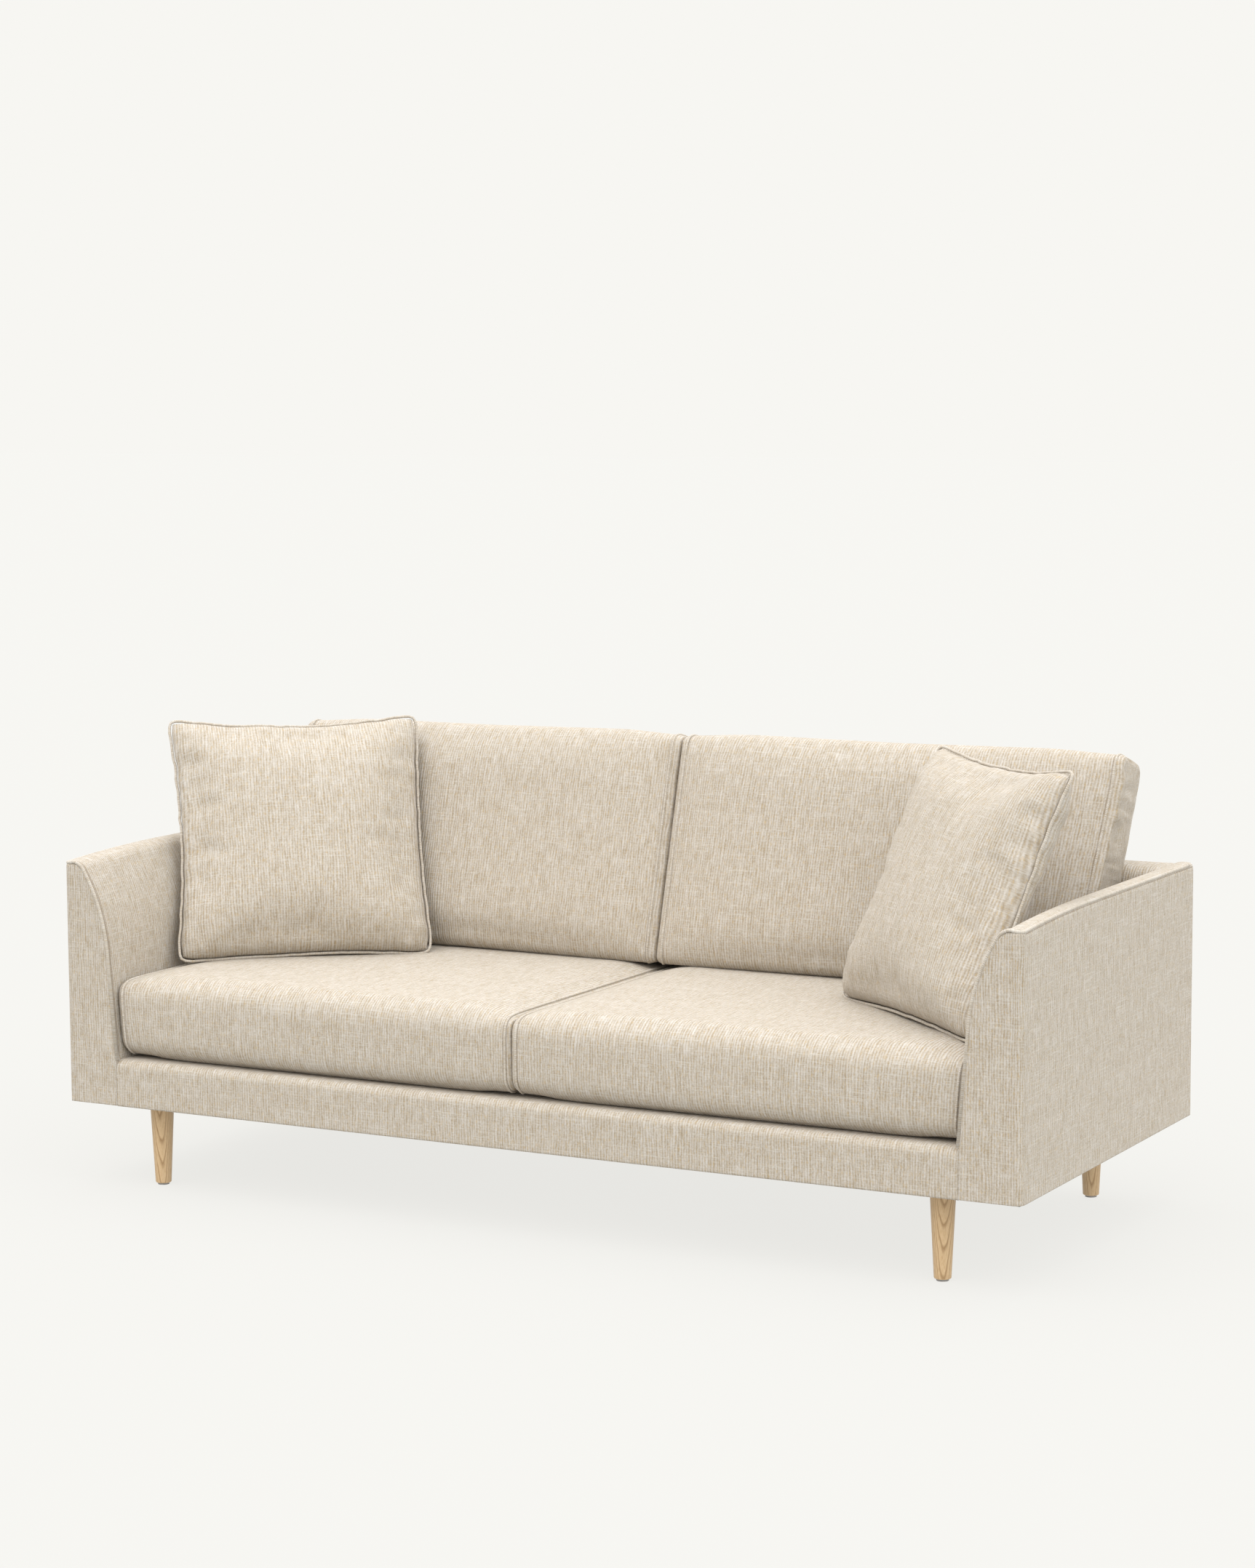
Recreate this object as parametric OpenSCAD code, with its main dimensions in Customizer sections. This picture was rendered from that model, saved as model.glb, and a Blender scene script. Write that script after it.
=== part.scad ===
// Two-seat-cushion sofa with slim flared arms, loose back cushions,
// two scatter pillows and four turned wooden legs.
// Millimetres. X runs across the sofa, Y to the rear, Z up. The origin is on
// the floor at the middle of the overall box. The front faces -Y, and left
// and right are as seen from the front, so right is at +X.

/* [Overall] */
// Overall width over the arms
sofa_width = 2150; // [1800:10:2600]
// Overall depth, front rail to outside back
sofa_depth = 920; // [760:10:1110]
// Height of the underside of the body, which is what the legs lift it by
leg_height = 173; // [120:1:210]
// Height of the arms, piping left out
arm_height = 683; // [600:1:760]
// Height of the low upholstered back behind the cushions
back_height = 693; // [610:1:780]

/* [Base] */
// Height of the upholstered front rail
rail_height = 99; // [80:1:125]
// Thickness of the frame timber
timber = 24; // [18:1:30]
// Thickness of the upholstery cloth
cloth = 1.5; // [0.8:0.1:2.2]
// Thickness of the padding on the front rail and the arm fronts
rail_padding = 8; // [5:1:12]
// How far the rail cover runs back over the rail top
rail_return = 80; // [50:5:110]

/* [Arms] */
// Width of an arm at seat level
arm_foot_width = 127; // [105:1:155]
// Slant of the inner arm face from upright, in degrees
arm_slant = 4.9; // [3:0.1:6]
// Height above the floor where the inner arm face starts to curve over
arm_curve_start = 500; // [460:5:520]
// Radius of the big curve on the inner arm face
arm_curve_radius = 375; // [340:5:400]
// Width of the timber that carries the arm top
arm_timber_width = 30; // [24:1:32]
// Thickness of the hardboard lining outside each arm and behind the back
liner = 2; // [1.5:0.5:3]
// How far the self piping stands proud of the arm
piping_rise = 3; // [2:0.5:4]
// Width of the self piping
piping_width = 10; // [7:0.5:12]

/* [Back] */
// Rake of the back from upright, in degrees
back_rake = 14; // [9:0.5:17]
// Thickness of the low back at its top
back_top_thickness = 93; // [84:1:115]
// Width of the uprights inside the back
upright_width = 45; // [35:1:60]
// Height of the back top rail
back_rail_height = 50; // [40:1:65]

/* [Seat cushions] */
// Thickness of a seat cushion
seat_thickness = 175; // [145:1:210]
// How far the cushion front stays behind the front of the rail
seat_setback = 4; // [2:1:12]
// Edge radius of the seat cushions
seat_edge_radius = 30; // [15:1:40]
// Height of the spring line under the deck, below the rail top
spring_drop = 10; // [8:0.5:14]

/* [Back cushions] */
// Front-to-back thickness of a back cushion, level with the floor
back_cushion_thickness = 174; // [130:1:190]
// Height of a back cushion above the seat cushion
back_cushion_height = 490; // [400:5:540]
// Edge radius of the back cushions
back_edge_radius = 34; // [15:1:45]

/* [Scatter pillows] */
// Side of a square pillow
pillow_size = 520; // [420:5:560]
// Thickness at the middle of a pillow
pillow_thickness = 140; // [100:2:160]
// How far each pillow is turned inwards, in degrees
pillow_turn = 39; // [32:1:46]
// How far each pillow leans back, in degrees
pillow_lean = 24; // [18:1:30]
// Room between each pillow and the arm it leans over
pillow_arm_room = 1; // [1:1:40]
// Room between the left pillow and the back cushion
pillow_left_room = 2; // [1:1:110]
// Room between the right pillow and the back cushion
pillow_right_room = 102; // [1:1:120]

/* [Legs] */
// Leg diameter at the top
leg_top_diameter = 50; // [42:1:60]
// Leg diameter at the foot
leg_foot_diameter = 33; // [27:1:40]
// Leg axis, distance in from the outside of the arm
leg_inset_x = 187; // [160:1:220]
// Leg axis, distance in from the front and the rear
leg_inset_y = 75; // [70:1:84]
// Diameter of the nylon glide under each leg
glide_diameter = 24; // [18:1:27]
// Diameter of the bolt that holds each leg
leg_bolt_diameter = 8; // [6:1:10]

/* [Fits] */
// Gap between pieces that only touch
gap = 0.3; // [0.2:0.05:0.6]
// Radial clearance of a bolt or screw in its hole
hole_clearance = 0.1; // [0.05:0.05:0.3]
// Room between the seat cushions and each arm
arm_room = 5; // [4.5:0.5:12]

/* [Hidden] */
$fn = 48;
half_width = sofa_width / 2;
half_depth = sofa_depth / 2;
base = leg_height;
deck = leg_height + rail_height;
timber_bottom = base + cloth + 0.1;
timber_top = deck - spring_drop;
glide_height = 4;
curve_steps = 10;
// sofa front, behind cloth and padding: where timber starts
timber_front = -half_depth + cloth + rail_padding;
timber_rear = half_depth - cloth - liner - 2 * gap;
upright_rear = timber_rear - timber - gap;
upright_thickness = 30;
upright_front = upright_rear - upright_thickness;
// padding outside and above the arm timber, and above the back timber
side_pad = 5;
arm_top_pad = 7;
back_top_pad = 12;
arm_w0 = cloth + side_pad + liner + 2 * gap;
arm_w1 = arm_w0 + arm_timber_width;
post_depth = 45;
arm_inner = half_width - arm_foot_width;
seat_half = arm_inner - arm_room;
seat_bottom = deck + gap;
seat_top = seat_bottom + seat_thickness;
seat_front = -half_depth + seat_setback;
back_bottom = seat_top + gap;
// roll of the low back at its front edge, and its tighter rear edge
back_roll = 26;
back_edge = 8;
// how far a cutting shape reaches past what it cuts
beyond = 20;
// frame bolts, screws and leg blocks
bolt_radius = 4;
bolt_head = 7;
bolt_reach = 43;
bolt_inset = 22;
bolt_edge = 12;
screw_radius = 2.5;
screw_head = 4.5;
screw_head_depth = 3.5;
screw_length = 22;
screw_inset = 24;
screw_drop = 45;
stretcher_half = 15;
block_half = 42;
block_height = 45;
nut_depth = 12;
// sinuous springs and their clips
wire = 3.5;
spring_bar = 44;
spring_half = 26;
clip_half = 8;
clip_offset = 14;
spring_count = 10;
spring_z = timber_top + 1;

// ---- colours ----
oat = [0.86, 0.81, 0.72];
foam_tint = [0.93, 0.90, 0.80];
pine = [0.80, 0.66, 0.45];
ash = [0.84, 0.68, 0.46];
steel = [0.55, 0.56, 0.58];
black_cloth = [0.12, 0.12, 0.13];

// ---- outlines ----
// y of the raked front face of the back, at a height
function rake_y(z) = half_depth - back_top_thickness
    - (back_height - z) * tan(back_rake);

// one rounded corner: p between a and b, as points on an arc
function corner(a, p, b, r) =
    r <= 0 ? [p] :
    let (
        u = (a - p) / norm(a - p),
        v = (b - p) / norm(b - p),
        half = acos(u * v) / 2,
        c = p + (u + v) / norm(u + v) * r / sin(half),
        s = p + u * r / tan(half) - c,
        e = p + v * r / tan(half) - c,
        a0 = atan2(s[1], s[0]),
        turn = (atan2(e[1], e[0]) - a0 + 540) % 360 - 180
    )
    [for (k = [0 : 6]) c + r * [cos(a0 + turn * k / 6), sin(a0 + turn * k / 6)]];

// a polygon with every corner rounded by its own radius
function rounded(p, r) = [
    for (i = [0 : len(p) - 1])
        each corner(p[(i + len(p) - 1) % len(p)], p[i], p[(i + 1) % len(p)], r[i])
];

// inner face and top of an arm as (inwards from the outside, height) points,
// moved into the arm by o: foot, upright part, slant, curve, top
arm_tangent = arm_foot_width - (arm_curve_start - deck) * tan(arm_slant);
arm_centre = [
    arm_tangent - arm_curve_radius * cos(arm_slant),
    arm_curve_start - arm_curve_radius * sin(arm_slant)
];
function arm_knee(o) = arm_curve_start
    - (o + (arm_foot_width - o - arm_tangent) * cos(arm_slant)) / sin(arm_slant);
function arm_curve(o, z0, w_end) =
    let (
        r = arm_curve_radius - o,
        last = asin((arm_height - o - arm_centre[1]) / r),
        step = (last - arm_slant) / curve_steps
    )
    concat(
        z0 < arm_knee(o) - 1 ? [[arm_foot_width - o, z0], [arm_foot_width - o, arm_knee(o)]]
            : [[arm_foot_width - o - (z0 - arm_knee(o)) * tan(arm_slant), z0]],
        [for (k = [0 : curve_steps])
            arm_centre + r * [cos(arm_slant + step * k), sin(arm_slant + step * k)]],
        [[w_end, arm_height - o]]
    );
function reversed(p) = [for (i = [len(p) - 1 : -1 : 0]) p[i]];
// from (inwards, height) to (x, z) on one side of the sofa
function on_side(side, p) = [for (q = p) [side * (half_width - q[0]), q[1]]];
function arm_outline(side, o, z0) =
    on_side(side, concat(arm_curve(o, z0, o), [[o, z0]]));
function arm_band(side, outer, inner, z0, w_end) =
    on_side(side, concat(arm_curve(outer, z0, w_end), reversed(arm_curve(inner, z0, w_end))));

// the low back above the deck, seen from the side, shrunk by o
function back_outline(o, z0) =
    rounded(
        [
            [rake_y(z0) + o / cos(back_rake), z0],
            [rake_y(back_height - o) + o / cos(back_rake), back_height - o],
            [half_depth - o, back_height - o],
            [half_depth - o, z0]
        ],
        [0, max(back_roll - o, 1), max(back_edge - o, 1), 0]
    );

// seat cushion from the side, shrunk by o
function seat_outline(o) =
    let (k = max(seat_edge_radius - o, 2), s = (gap + o) / cos(back_rake))
    rounded(
        [
            [seat_front + o, seat_bottom + o],
            [seat_front + o, seat_top - o],
            [rake_y(seat_top - o) - s, seat_top - o],
            [rake_y(seat_bottom + o) - s, seat_bottom + o]
        ],
        [k, k, max(8 - o, 2), max(8 - o, 2)]
    );

// back cushion from the side, shrunk by o: it leans on the raked back
function back_cushion_outline(o) =
    let (
        k = max(back_edge_radius - o, 2),
        s = (gap + o) / cos(back_rake),
        t = back_cushion_thickness - 2 * o / cos(back_rake),
        rear = rake_y(back_bottom + o) - s,
        up = (back_cushion_height - 2 * o) / cos(back_rake),
        lean = [sin(back_rake), cos(back_rake)],
        front_top = [rear - t, back_bottom + o] + up * lean,
        deep = t * cos(back_rake)
    )
    rounded(
        [
            [rear - t, back_bottom + o],
            front_top,
            front_top + deep * [cos(back_rake), -sin(back_rake)],
            [rear, back_bottom + o]
        ],
        [k * 0.6, k, k, max(6 - o, 1.5)]
    );

// ---- helpers ----
module along_x(x0, x1) {
    translate([x0, 0, 0])
        rotate([90, 0, 90])
            linear_extrude(height = x1 - x0)
                children();
}

module along_y(y0, y1) {
    translate([0, y1, 0])
        rotate([90, 0, 0])
            linear_extrude(height = y1 - y0)
                children();
}

module box(x, y, z) {
    translate([x[0], y[0], z[0]])
        cube([x[1] - x[0], y[1] - y[0], z[1] - z[0]]);
}

// a box given for the right side, drawn on either side
module side_box(side, x, y, z) {
    if (side > 0) box(x, y, z);
    else box([-x[1], -x[0]], y, z);
}

module rod_y(x, z, y0, y1, r) {
    translate([x, y1, z])
        rotate([90, 0, 0])
            cylinder(r = r, h = y1 - y0);
}

// everything behind the raked face of the back, above the deck
module behind_rake(o) {
    along_x(-half_width - 1, half_width + 1)
        polygon([
            [rake_y(deck) - o, deck - o],
            [rake_y(back_height + beyond) - o, back_height + beyond],
            [half_depth + beyond, back_height + beyond],
            [half_depth + beyond, deck - o]
        ]);
}

// the hollow that the arm timber fills
module timber_hollow(side) {
    side_box(
        side,
        [half_width - arm_w1 - gap, half_width - arm_w0 + liner + gap],
        [timber_front - gap, half_depth - cloth + 1],
        [base - 1, arm_top_z + gap]
    );
}

arm_top_z = arm_height - cloth - arm_top_pad;
leg_x = half_width - leg_inset_x;
leg_y = half_depth - leg_inset_y;
bolt_zs = [timber_bottom + bolt_inset, timber_top - bolt_inset];
bolt_x = half_width - arm_w0 - bolt_edge;
screw_zs = [timber_bottom + screw_inset, timber_top - screw_inset, back_height - screw_drop];

module at_legs() {
    for (x = [-leg_x, leg_x], y = [-leg_y, leg_y])
        translate([x, y, 0])
            children();
}

// ---- base frame ----
module frame_bolt_holes() {
    for (s = [-1, 1], z = bolt_zs) {
        rod_y(s * bolt_x, z, timber_front - 1, timber_front + post_depth + bolt_reach + 2,
            bolt_radius + hole_clearance);
        rod_y(s * bolt_x, z, timber_front - 1, timber_front + 6, bolt_head + hole_clearance);
    }
}

module frame_bolts() {
    color(steel)
        for (s = [-1, 1], z = bolt_zs) {
            rod_y(s * bolt_x, z, timber_front + 1, timber_front + 6, bolt_head);
            rod_y(s * bolt_x, z, timber_front + 5, timber_front + post_depth + bolt_reach, bolt_radius);
        }
}

upright_x = half_width - arm_w1 - upright_width / 2 - 4;
module screw_holes() {
    for (x = [-upright_x, 0, upright_x], z = screw_zs) {
        rod_y(x, z, timber_rear - timber - screw_length - 2, timber_rear + 1,
            screw_radius + hole_clearance);
        rod_y(x, z, timber_rear - screw_head_depth, timber_rear + 1, screw_head + hole_clearance);
    }
}

module upright_screws() {
    color(steel)
        for (x = [-upright_x, 0, upright_x], z = screw_zs) {
            rod_y(x, z, timber_rear - timber - screw_length, timber_rear - 2, screw_radius);
            rod_y(x, z, timber_rear - screw_head_depth, timber_rear - 0.5, screw_head);
        }
}

module front_rail() {
    w = half_width - arm_w1 - gap;
    color(pine)
        box([-w, w], [timber_front, timber_front + timber], [timber_bottom, timber_top]);
}

module rear_rail() {
    w = half_width - arm_w0 - gap;
    color(pine)
        difference() {
            box([-w, w], [timber_rear - timber, timber_rear], [timber_bottom, timber_top]);
            screw_holes();
        }
}

module side_rail(side) {
    color(pine)
        difference() {
            side_box(
                side,
                [half_width - arm_w0 - timber, half_width - arm_w0],
                [timber_front + post_depth + gap, timber_rear - timber - gap],
                [timber_bottom, timber_top]
            );
            frame_bolt_holes();
        }
}

module side_rail_left() { side_rail(-1); }
module side_rail_right() { side_rail(1); }

module centre_stretcher() {
    color(pine)
        box(
            [-stretcher_half, stretcher_half],
            [timber_front + timber + gap, upright_front - gap],
            [timber_bottom, timber_top - 25]
        );
}

module leg_blocks() {
    y0 = timber_front + timber + gap;
    y1 = timber_rear - timber - gap;
    color(pine)
        difference() {
            for (x = [-leg_x, leg_x]) {
                bx = [x - block_half, x + block_half];
                bz = [timber_bottom, timber_bottom + block_height];
                box(bx, [y0, y0 + 2 * block_half], bz);
                box(bx, [y1 - 2 * block_half, y1], bz);
            }
            at_legs()
                translate([0, 0, timber_bottom - 1])
                    cylinder(r = leg_bolt_diameter / 2 + hole_clearance, h = block_height + 2);
            at_legs()
                translate([0, 0, timber_bottom + block_height - nut_depth])
                    cylinder(r = leg_bolt_diameter / 2 + 1.5 + hole_clearance, h = nut_depth + 2);
        }
}

module arm_post(side) {
    color(pine)
        difference() {
            side_box(
                side,
                [half_width - arm_w1, half_width - arm_w0],
                [timber_front, timber_front + post_depth],
                [timber_bottom, arm_top_z]
            );
            frame_bolt_holes();
        }
}

module arm_post_left() { arm_post(-1); }
module arm_post_right() { arm_post(1); }

module arm_top_rail(side) {
    color(pine)
        side_box(
            side,
            [half_width - arm_w1, half_width - arm_w0],
            [timber_front + post_depth + gap, timber_rear - timber - gap],
            [arm_top_z - 26, arm_top_z]
        );
}

module arm_top_rail_left() { arm_top_rail(-1); }
module arm_top_rail_right() { arm_top_rail(1); }

module arm_liner(side) {
    color([0.52, 0.38, 0.24])
        side_box(
            side,
            [half_width - arm_w0 + gap, half_width - arm_w0 + gap + liner],
            [timber_front, timber_rear],
            [timber_bottom, arm_top_z]
        );
}

module arm_liner_left() { arm_liner(-1); }
module arm_liner_right() { arm_liner(1); }

// ---- back frame ----
module back_upright(x) {
    color(pine)
        difference() {
            box(
                [x - upright_width / 2, x + upright_width / 2],
                [upright_front, upright_rear],
                [timber_bottom, back_height - cloth - back_top_pad]
            );
            screw_holes();
        }
}

module back_upright_left() { back_upright(-upright_x); }
module back_upright_middle() { back_upright(0); }
module back_upright_right() { back_upright(upright_x); }

module back_top_rail() {
    w = half_width - arm_w1 - gap;
    top = back_height - cloth - back_top_pad;
    color(pine)
        difference() {
            box([-w, w], [timber_rear - timber, timber_rear], [top - back_rail_height, top]);
            screw_holes();
        }
}

module back_board() {
    w = half_width - cloth - 2 * gap;
    color([0.52, 0.38, 0.24])
        box(
            [-w, w],
            [timber_rear + gap, timber_rear + gap + liner],
            [timber_bottom, back_height - cloth - back_top_pad]
        );
}

// ---- seat deck ----
spring_y0 = timber_front + timber / 2;
spring_y1 = timber_rear - timber / 2;
spring_bars = floor((spring_y1 - spring_y0) / spring_bar);
spring_pitch = (spring_y1 - spring_y0) / spring_bars;
spring_x = function (i) (i - (spring_count - 1) / 2) * (2 * arm_inner / spring_count);

// one edge of a zigzag wire: straight bars joined by half turns
function zigzag(o) = [
    for (k = [0 : spring_bars])
        let (d = k % 2 == 0 ? 1 : -1, r = spring_pitch / 2, y = k * spring_pitch)
            each concat(
                [[-d * (k == 0 ? spring_half : spring_half - r), y - d * o]],
                k == spring_bars ? [[d * spring_half, y - d * o]] :
                [for (a = [-90 : 45 : 45])
                    [d * (spring_half - r + (r + d * o) * cos(a)),
                     y + r + (r + d * o) * sin(a)]]
            )
];

module seat_springs() {
    color(steel)
        for (i = [0 : spring_count - 1])
            translate([spring_x(i), spring_y0, spring_z])
                linear_extrude(height = wire)
                    polygon(concat(zigzag(wire / 2), reversed(zigzag(-wire / 2))));
}

module spring_clip(x, y) {
    difference() {
        box(
            [x - clip_half, x + clip_half],
            [y - clip_half, y + clip_half],
            [timber_top, spring_z + wire + 2]
        );
        box(
            [x - clip_half - 1, x + clip_half + 1],
            [y - wire / 2 - 0.1, y + wire / 2 + 0.1],
            [spring_z - 0.1, spring_z + wire + 0.1]
        );
    }
}

module spring_clips() {
    color([0.85, 0.85, 0.83])
        for (i = [0 : spring_count - 1], end = [0, 1])
            spring_clip(
                spring_x(i) + (end == 0 || spring_bars % 2 == 1 ? -clip_offset : clip_offset),
                end == 0 ? spring_y0 : spring_y1
            );
}

deck_y0 = -half_depth + rail_return + gap;
module deck_pad() {
    color(foam_tint)
        box(
            [-arm_inner + 1, arm_inner - 1],
            [deck_y0 - 40, rake_y(deck) - 2],
            [spring_z + wire + gap, deck - cloth - gap]
        );
}

module deck_cloth() {
    color(oat)
        box(
            [-arm_inner + 1, arm_inner - 1],
            [deck_y0, rake_y(deck) - 2],
            [deck - cloth, deck]
        );
}

module dust_cover() {
    w = half_width - cloth - 4;
    d = half_depth - cloth - 4;
    color(black_cloth)
        difference() {
            box([-w, w], [-d, d], [base + 0.3, base + 1.1]);
            at_legs()
                cylinder(r = leg_top_diameter / 2 + 2, h = base + beyond);
        }
}

// ---- padding ----
module rail_foam() {
    color(foam_tint)
        box(
            [-arm_inner + gap, arm_inner - gap],
            [-half_depth + cloth + gap, timber_front - gap],
            [timber_bottom, deck - cloth - gap]
        );
}

module arm_foam(side) {
    color(foam_tint)
        difference() {
            along_y(-half_depth + cloth + gap, half_depth - cloth - liner - 3 * gap)
                polygon(arm_outline(side, cloth + gap, timber_bottom));
            behind_rake(gap);
            timber_hollow(side);
            side_box(
                side,
                [half_width - arm_foot_width - 1, half_width - arm_w1],
                [timber_front - gap, timber_front + timber + gap],
                [base - 1, timber_top + gap]
            );
            side_box(
                side,
                [half_width - arm_foot_width - 1, half_width - arm_w1],
                [upright_front - 90, half_depth],
                [base - 1, deck + 1]
            );
            side_box(
                side,
                [half_width - arm_foot_width - 1, leg_x + block_half + gap],
                [-half_depth, half_depth],
                [base - 1, timber_bottom + block_height + gap]
            );
        }
}

module arm_foam_left() { arm_foam(-1); }
module arm_foam_right() { arm_foam(1); }

module back_foam() {
    w = half_width - cloth - gap;
    color(foam_tint)
        difference() {
            along_x(-w, w)
                polygon(back_outline(cloth + gap, deck + gap));
            box(
                [-half_width, half_width],
                [upright_front - gap, half_depth],
                [base, back_height - cloth - back_top_pad + gap]
            );
            for (s = [-1, 1])
                timber_hollow(s);
        }
}

// ---- covers ----
module rail_cover() {
    w = arm_inner - gap;
    color(oat)
        union() {
            box([-w, w], [-half_depth, -half_depth + cloth], [base, deck]);
            box([-w, w], [-half_depth, -half_depth + rail_return], [deck - cloth, deck]);
        }
}

module arm_inner_cover(side) {
    color(oat)
        difference() {
            along_y(-half_depth + cloth + gap, rake_y(arm_height) + 5)
                polygon(arm_band(side, 0, cloth, deck + gap, cloth + gap));
            behind_rake(gap);
        }
}

module arm_inner_cover_left() { arm_inner_cover(-1); }
module arm_inner_cover_right() { arm_inner_cover(1); }

module arm_outer_cover(side) {
    color(oat)
        union() {
            along_y(-half_depth, -half_depth + cloth)
                polygon(arm_outline(side, 0, base));
            along_x(
                side > 0 ? half_width - cloth : -half_width,
                side > 0 ? half_width : -half_width + cloth
            )
                polygon([
                    [-half_depth, base],
                    [half_depth, base],
                    [half_depth, back_height],
                    [rake_y(back_height) + back_roll, back_height],
                    [rake_y(arm_height), arm_height],
                    [-half_depth, arm_height]
                ]);
        }
}

module arm_outer_cover_left() { arm_outer_cover(-1); }
module arm_outer_cover_right() { arm_outer_cover(1); }

module arm_piping(side) {
    y1 = rake_y(arm_height) - 2;
    color(oat)
        union() {
            along_y(-half_depth, -half_depth + piping_width)
                polygon(arm_band(side, -piping_rise, -0.1, deck + 1, 0));
            side_box(
                side,
                [half_width - piping_width, half_width],
                [-half_depth, y1],
                [arm_height + 0.1, arm_height + piping_rise]
            );
        }
}

module arm_piping_left() { arm_piping(-1); }
module arm_piping_right() { arm_piping(1); }

module back_inner_cover() {
    w = half_width - cloth - gap;
    color(oat)
        difference() {
            along_x(-w, w)
                polygon(back_outline(0, deck + gap));
            along_x(-w - 1, w + 1)
                polygon(back_outline(cloth, deck - 5));
            box([-half_width, half_width], [half_depth - cloth - gap, half_depth + 1], [base, back_height]);
            for (s = [-1, 1])
                timber_hollow(s);
        }
}

module back_outer_cover() {
    w = half_width - cloth - gap;
    color(oat)
        box([-w, w], [half_depth - cloth, half_depth], [base, back_height - back_edge]);
}

// ---- legs ----
module leg() {
    color(ash)
        difference() {
            translate([0, 0, glide_height])
                cylinder(
                    r1 = leg_foot_diameter / 2,
                    r2 = leg_top_diameter / 2,
                    h = timber_bottom - gap - glide_height
                );
            translate([0, 0, timber_bottom - 45])
                cylinder(r = leg_bolt_diameter / 2 + hole_clearance, h = 60);
            cylinder(r = 2 + hole_clearance, h = glide_height + 16);
        }
}

module leg_front_left() { translate([-leg_x, -leg_y, 0]) leg(); }
module leg_front_right() { translate([leg_x, -leg_y, 0]) leg(); }
module leg_rear_left() { translate([-leg_x, leg_y, 0]) leg(); }
module leg_rear_right() { translate([leg_x, leg_y, 0]) leg(); }

module glides() {
    color(black_cloth)
        at_legs()
            union() {
                cylinder(r = glide_diameter / 2, h = glide_height - 0.1);
                cylinder(r = 2, h = glide_height + 14);
            }
}

module hanger_bolts() {
    color(steel)
        at_legs()
            translate([0, 0, timber_bottom - 43])
                cylinder(r = leg_bolt_diameter / 2, h = 43 + block_height - 2);
}

module tee_nuts() {
    z = timber_bottom + block_height;
    color(steel)
        at_legs()
            difference() {
                union() {
                    translate([0, 0, z - 11])
                        cylinder(r = leg_bolt_diameter / 2 + 1.5, h = 12);
                    translate([0, 0, z + 0.1])
                        cylinder(r = leg_bolt_diameter / 2 + 7, h = 1.5);
                }
                translate([0, 0, z - 20])
                    cylinder(r = leg_bolt_diameter / 2 + 0.05, h = 40);
            }
}

// ---- seat cushions ----
function seat_span(side, o) = side > 0 ? [gap + o, seat_half - o] : [-seat_half + o, -gap - o];

module seat_foam(side) {
    s = seat_span(side, cloth + 0.1);
    color(foam_tint)
        along_x(s[0], s[1])
            polygon(seat_outline(cloth + 0.1));
}

module seat_cover(side) {
    s = seat_span(side, 0);
    t = seat_span(side, cloth);
    color(oat)
        difference() {
            along_x(s[0], s[1])
                polygon(seat_outline(0));
            along_x(t[0], t[1])
                polygon(seat_outline(cloth));
        }
}

module seat_foam_left() { seat_foam(-1); }
module seat_foam_right() { seat_foam(1); }
module seat_cover_left() { seat_cover(-1); }
module seat_cover_right() { seat_cover(1); }

// ---- back cushions ----
module back_fill(side) {
    s = seat_span(side, cloth + 0.1);
    color(foam_tint)
        along_x(s[0], s[1])
            polygon(back_cushion_outline(cloth + 0.1));
}

module back_cover(side) {
    s = seat_span(side, 0);
    t = seat_span(side, cloth);
    color(oat)
        difference() {
            along_x(s[0], s[1])
                polygon(back_cushion_outline(0));
            along_x(t[0], t[1])
                polygon(back_cushion_outline(cloth));
        }
}

module back_fill_left() { back_fill(-1); }
module back_fill_right() { back_fill(1); }
module back_cover_left() { back_cover(-1); }
module back_cover_right() { back_cover(1); }

// ---- scatter pillows ----
// a square cut from two big balls, so it is full in the middle and thin at
// its edges; o shrinks it all round
pillow_reach = pillow_size * 0.655;
pillow_half = pillow_thickness / 2;
pillow_ball = (pillow_reach * pillow_reach + pillow_half * pillow_half) / (2 * pillow_half);

// half the thickness at the middle of an edge
pillow_rim = sqrt(pow(pillow_ball, 2) - pow(pillow_size / 2, 2)) - pillow_ball + pillow_half;

module pillow_form(o) {
    s = pillow_size / 2 - o;
    r = pillow_ball - o;
    c = pillow_ball - pillow_half;
    intersection() {
        box([-s, s], [-pillow_thickness, pillow_thickness], [-s, s]);
        translate([0, c, 0]) sphere(r = r, $fn = 240);
        translate([0, -c, 0]) sphere(r = r, $fn = 240);
    }
}

// The middle of a pillow: standing on the seat, its outer side just clear of
// the arm at every height, its inner rear side just clear of the back cushion.
pillow_z = seat_top + gap + pillow_size / 2 * cos(pillow_lean) + pillow_rim * sin(pillow_lean);
pillow_inset = pillow_arm_room + max([
    for (q = arm_curve(-piping_rise, seat_top, 0))
        q[0] + pillow_size / 2 * cos(pillow_turn) + sin(pillow_turn)
            * (pillow_rim / cos(pillow_lean) + (q[1] - pillow_z) * tan(pillow_lean))
]);
function rim_at(u) =
    sqrt(pow(pillow_ball, 2) - pow(pillow_size / 2, 2) - u * u) - pillow_ball + pillow_half;
pillow_reach_back = max([
    for (k = [-8 : 8])
        let (u = k * pillow_size / 16)
            sin(pillow_turn) * cos(back_rake) * pillow_size / 2
                + (cos(pillow_turn) * cos(back_rake) * cos(pillow_lean)
                    + sin(back_rake) * sin(pillow_lean)) * rim_at(u)
                + (cos(pillow_turn) * cos(back_rake) * sin(pillow_lean)
                    - sin(back_rake) * cos(pillow_lean)) * u
]);
cushion_foot_y = rake_y(back_bottom) - gap / cos(back_rake) - back_cushion_thickness;
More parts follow.
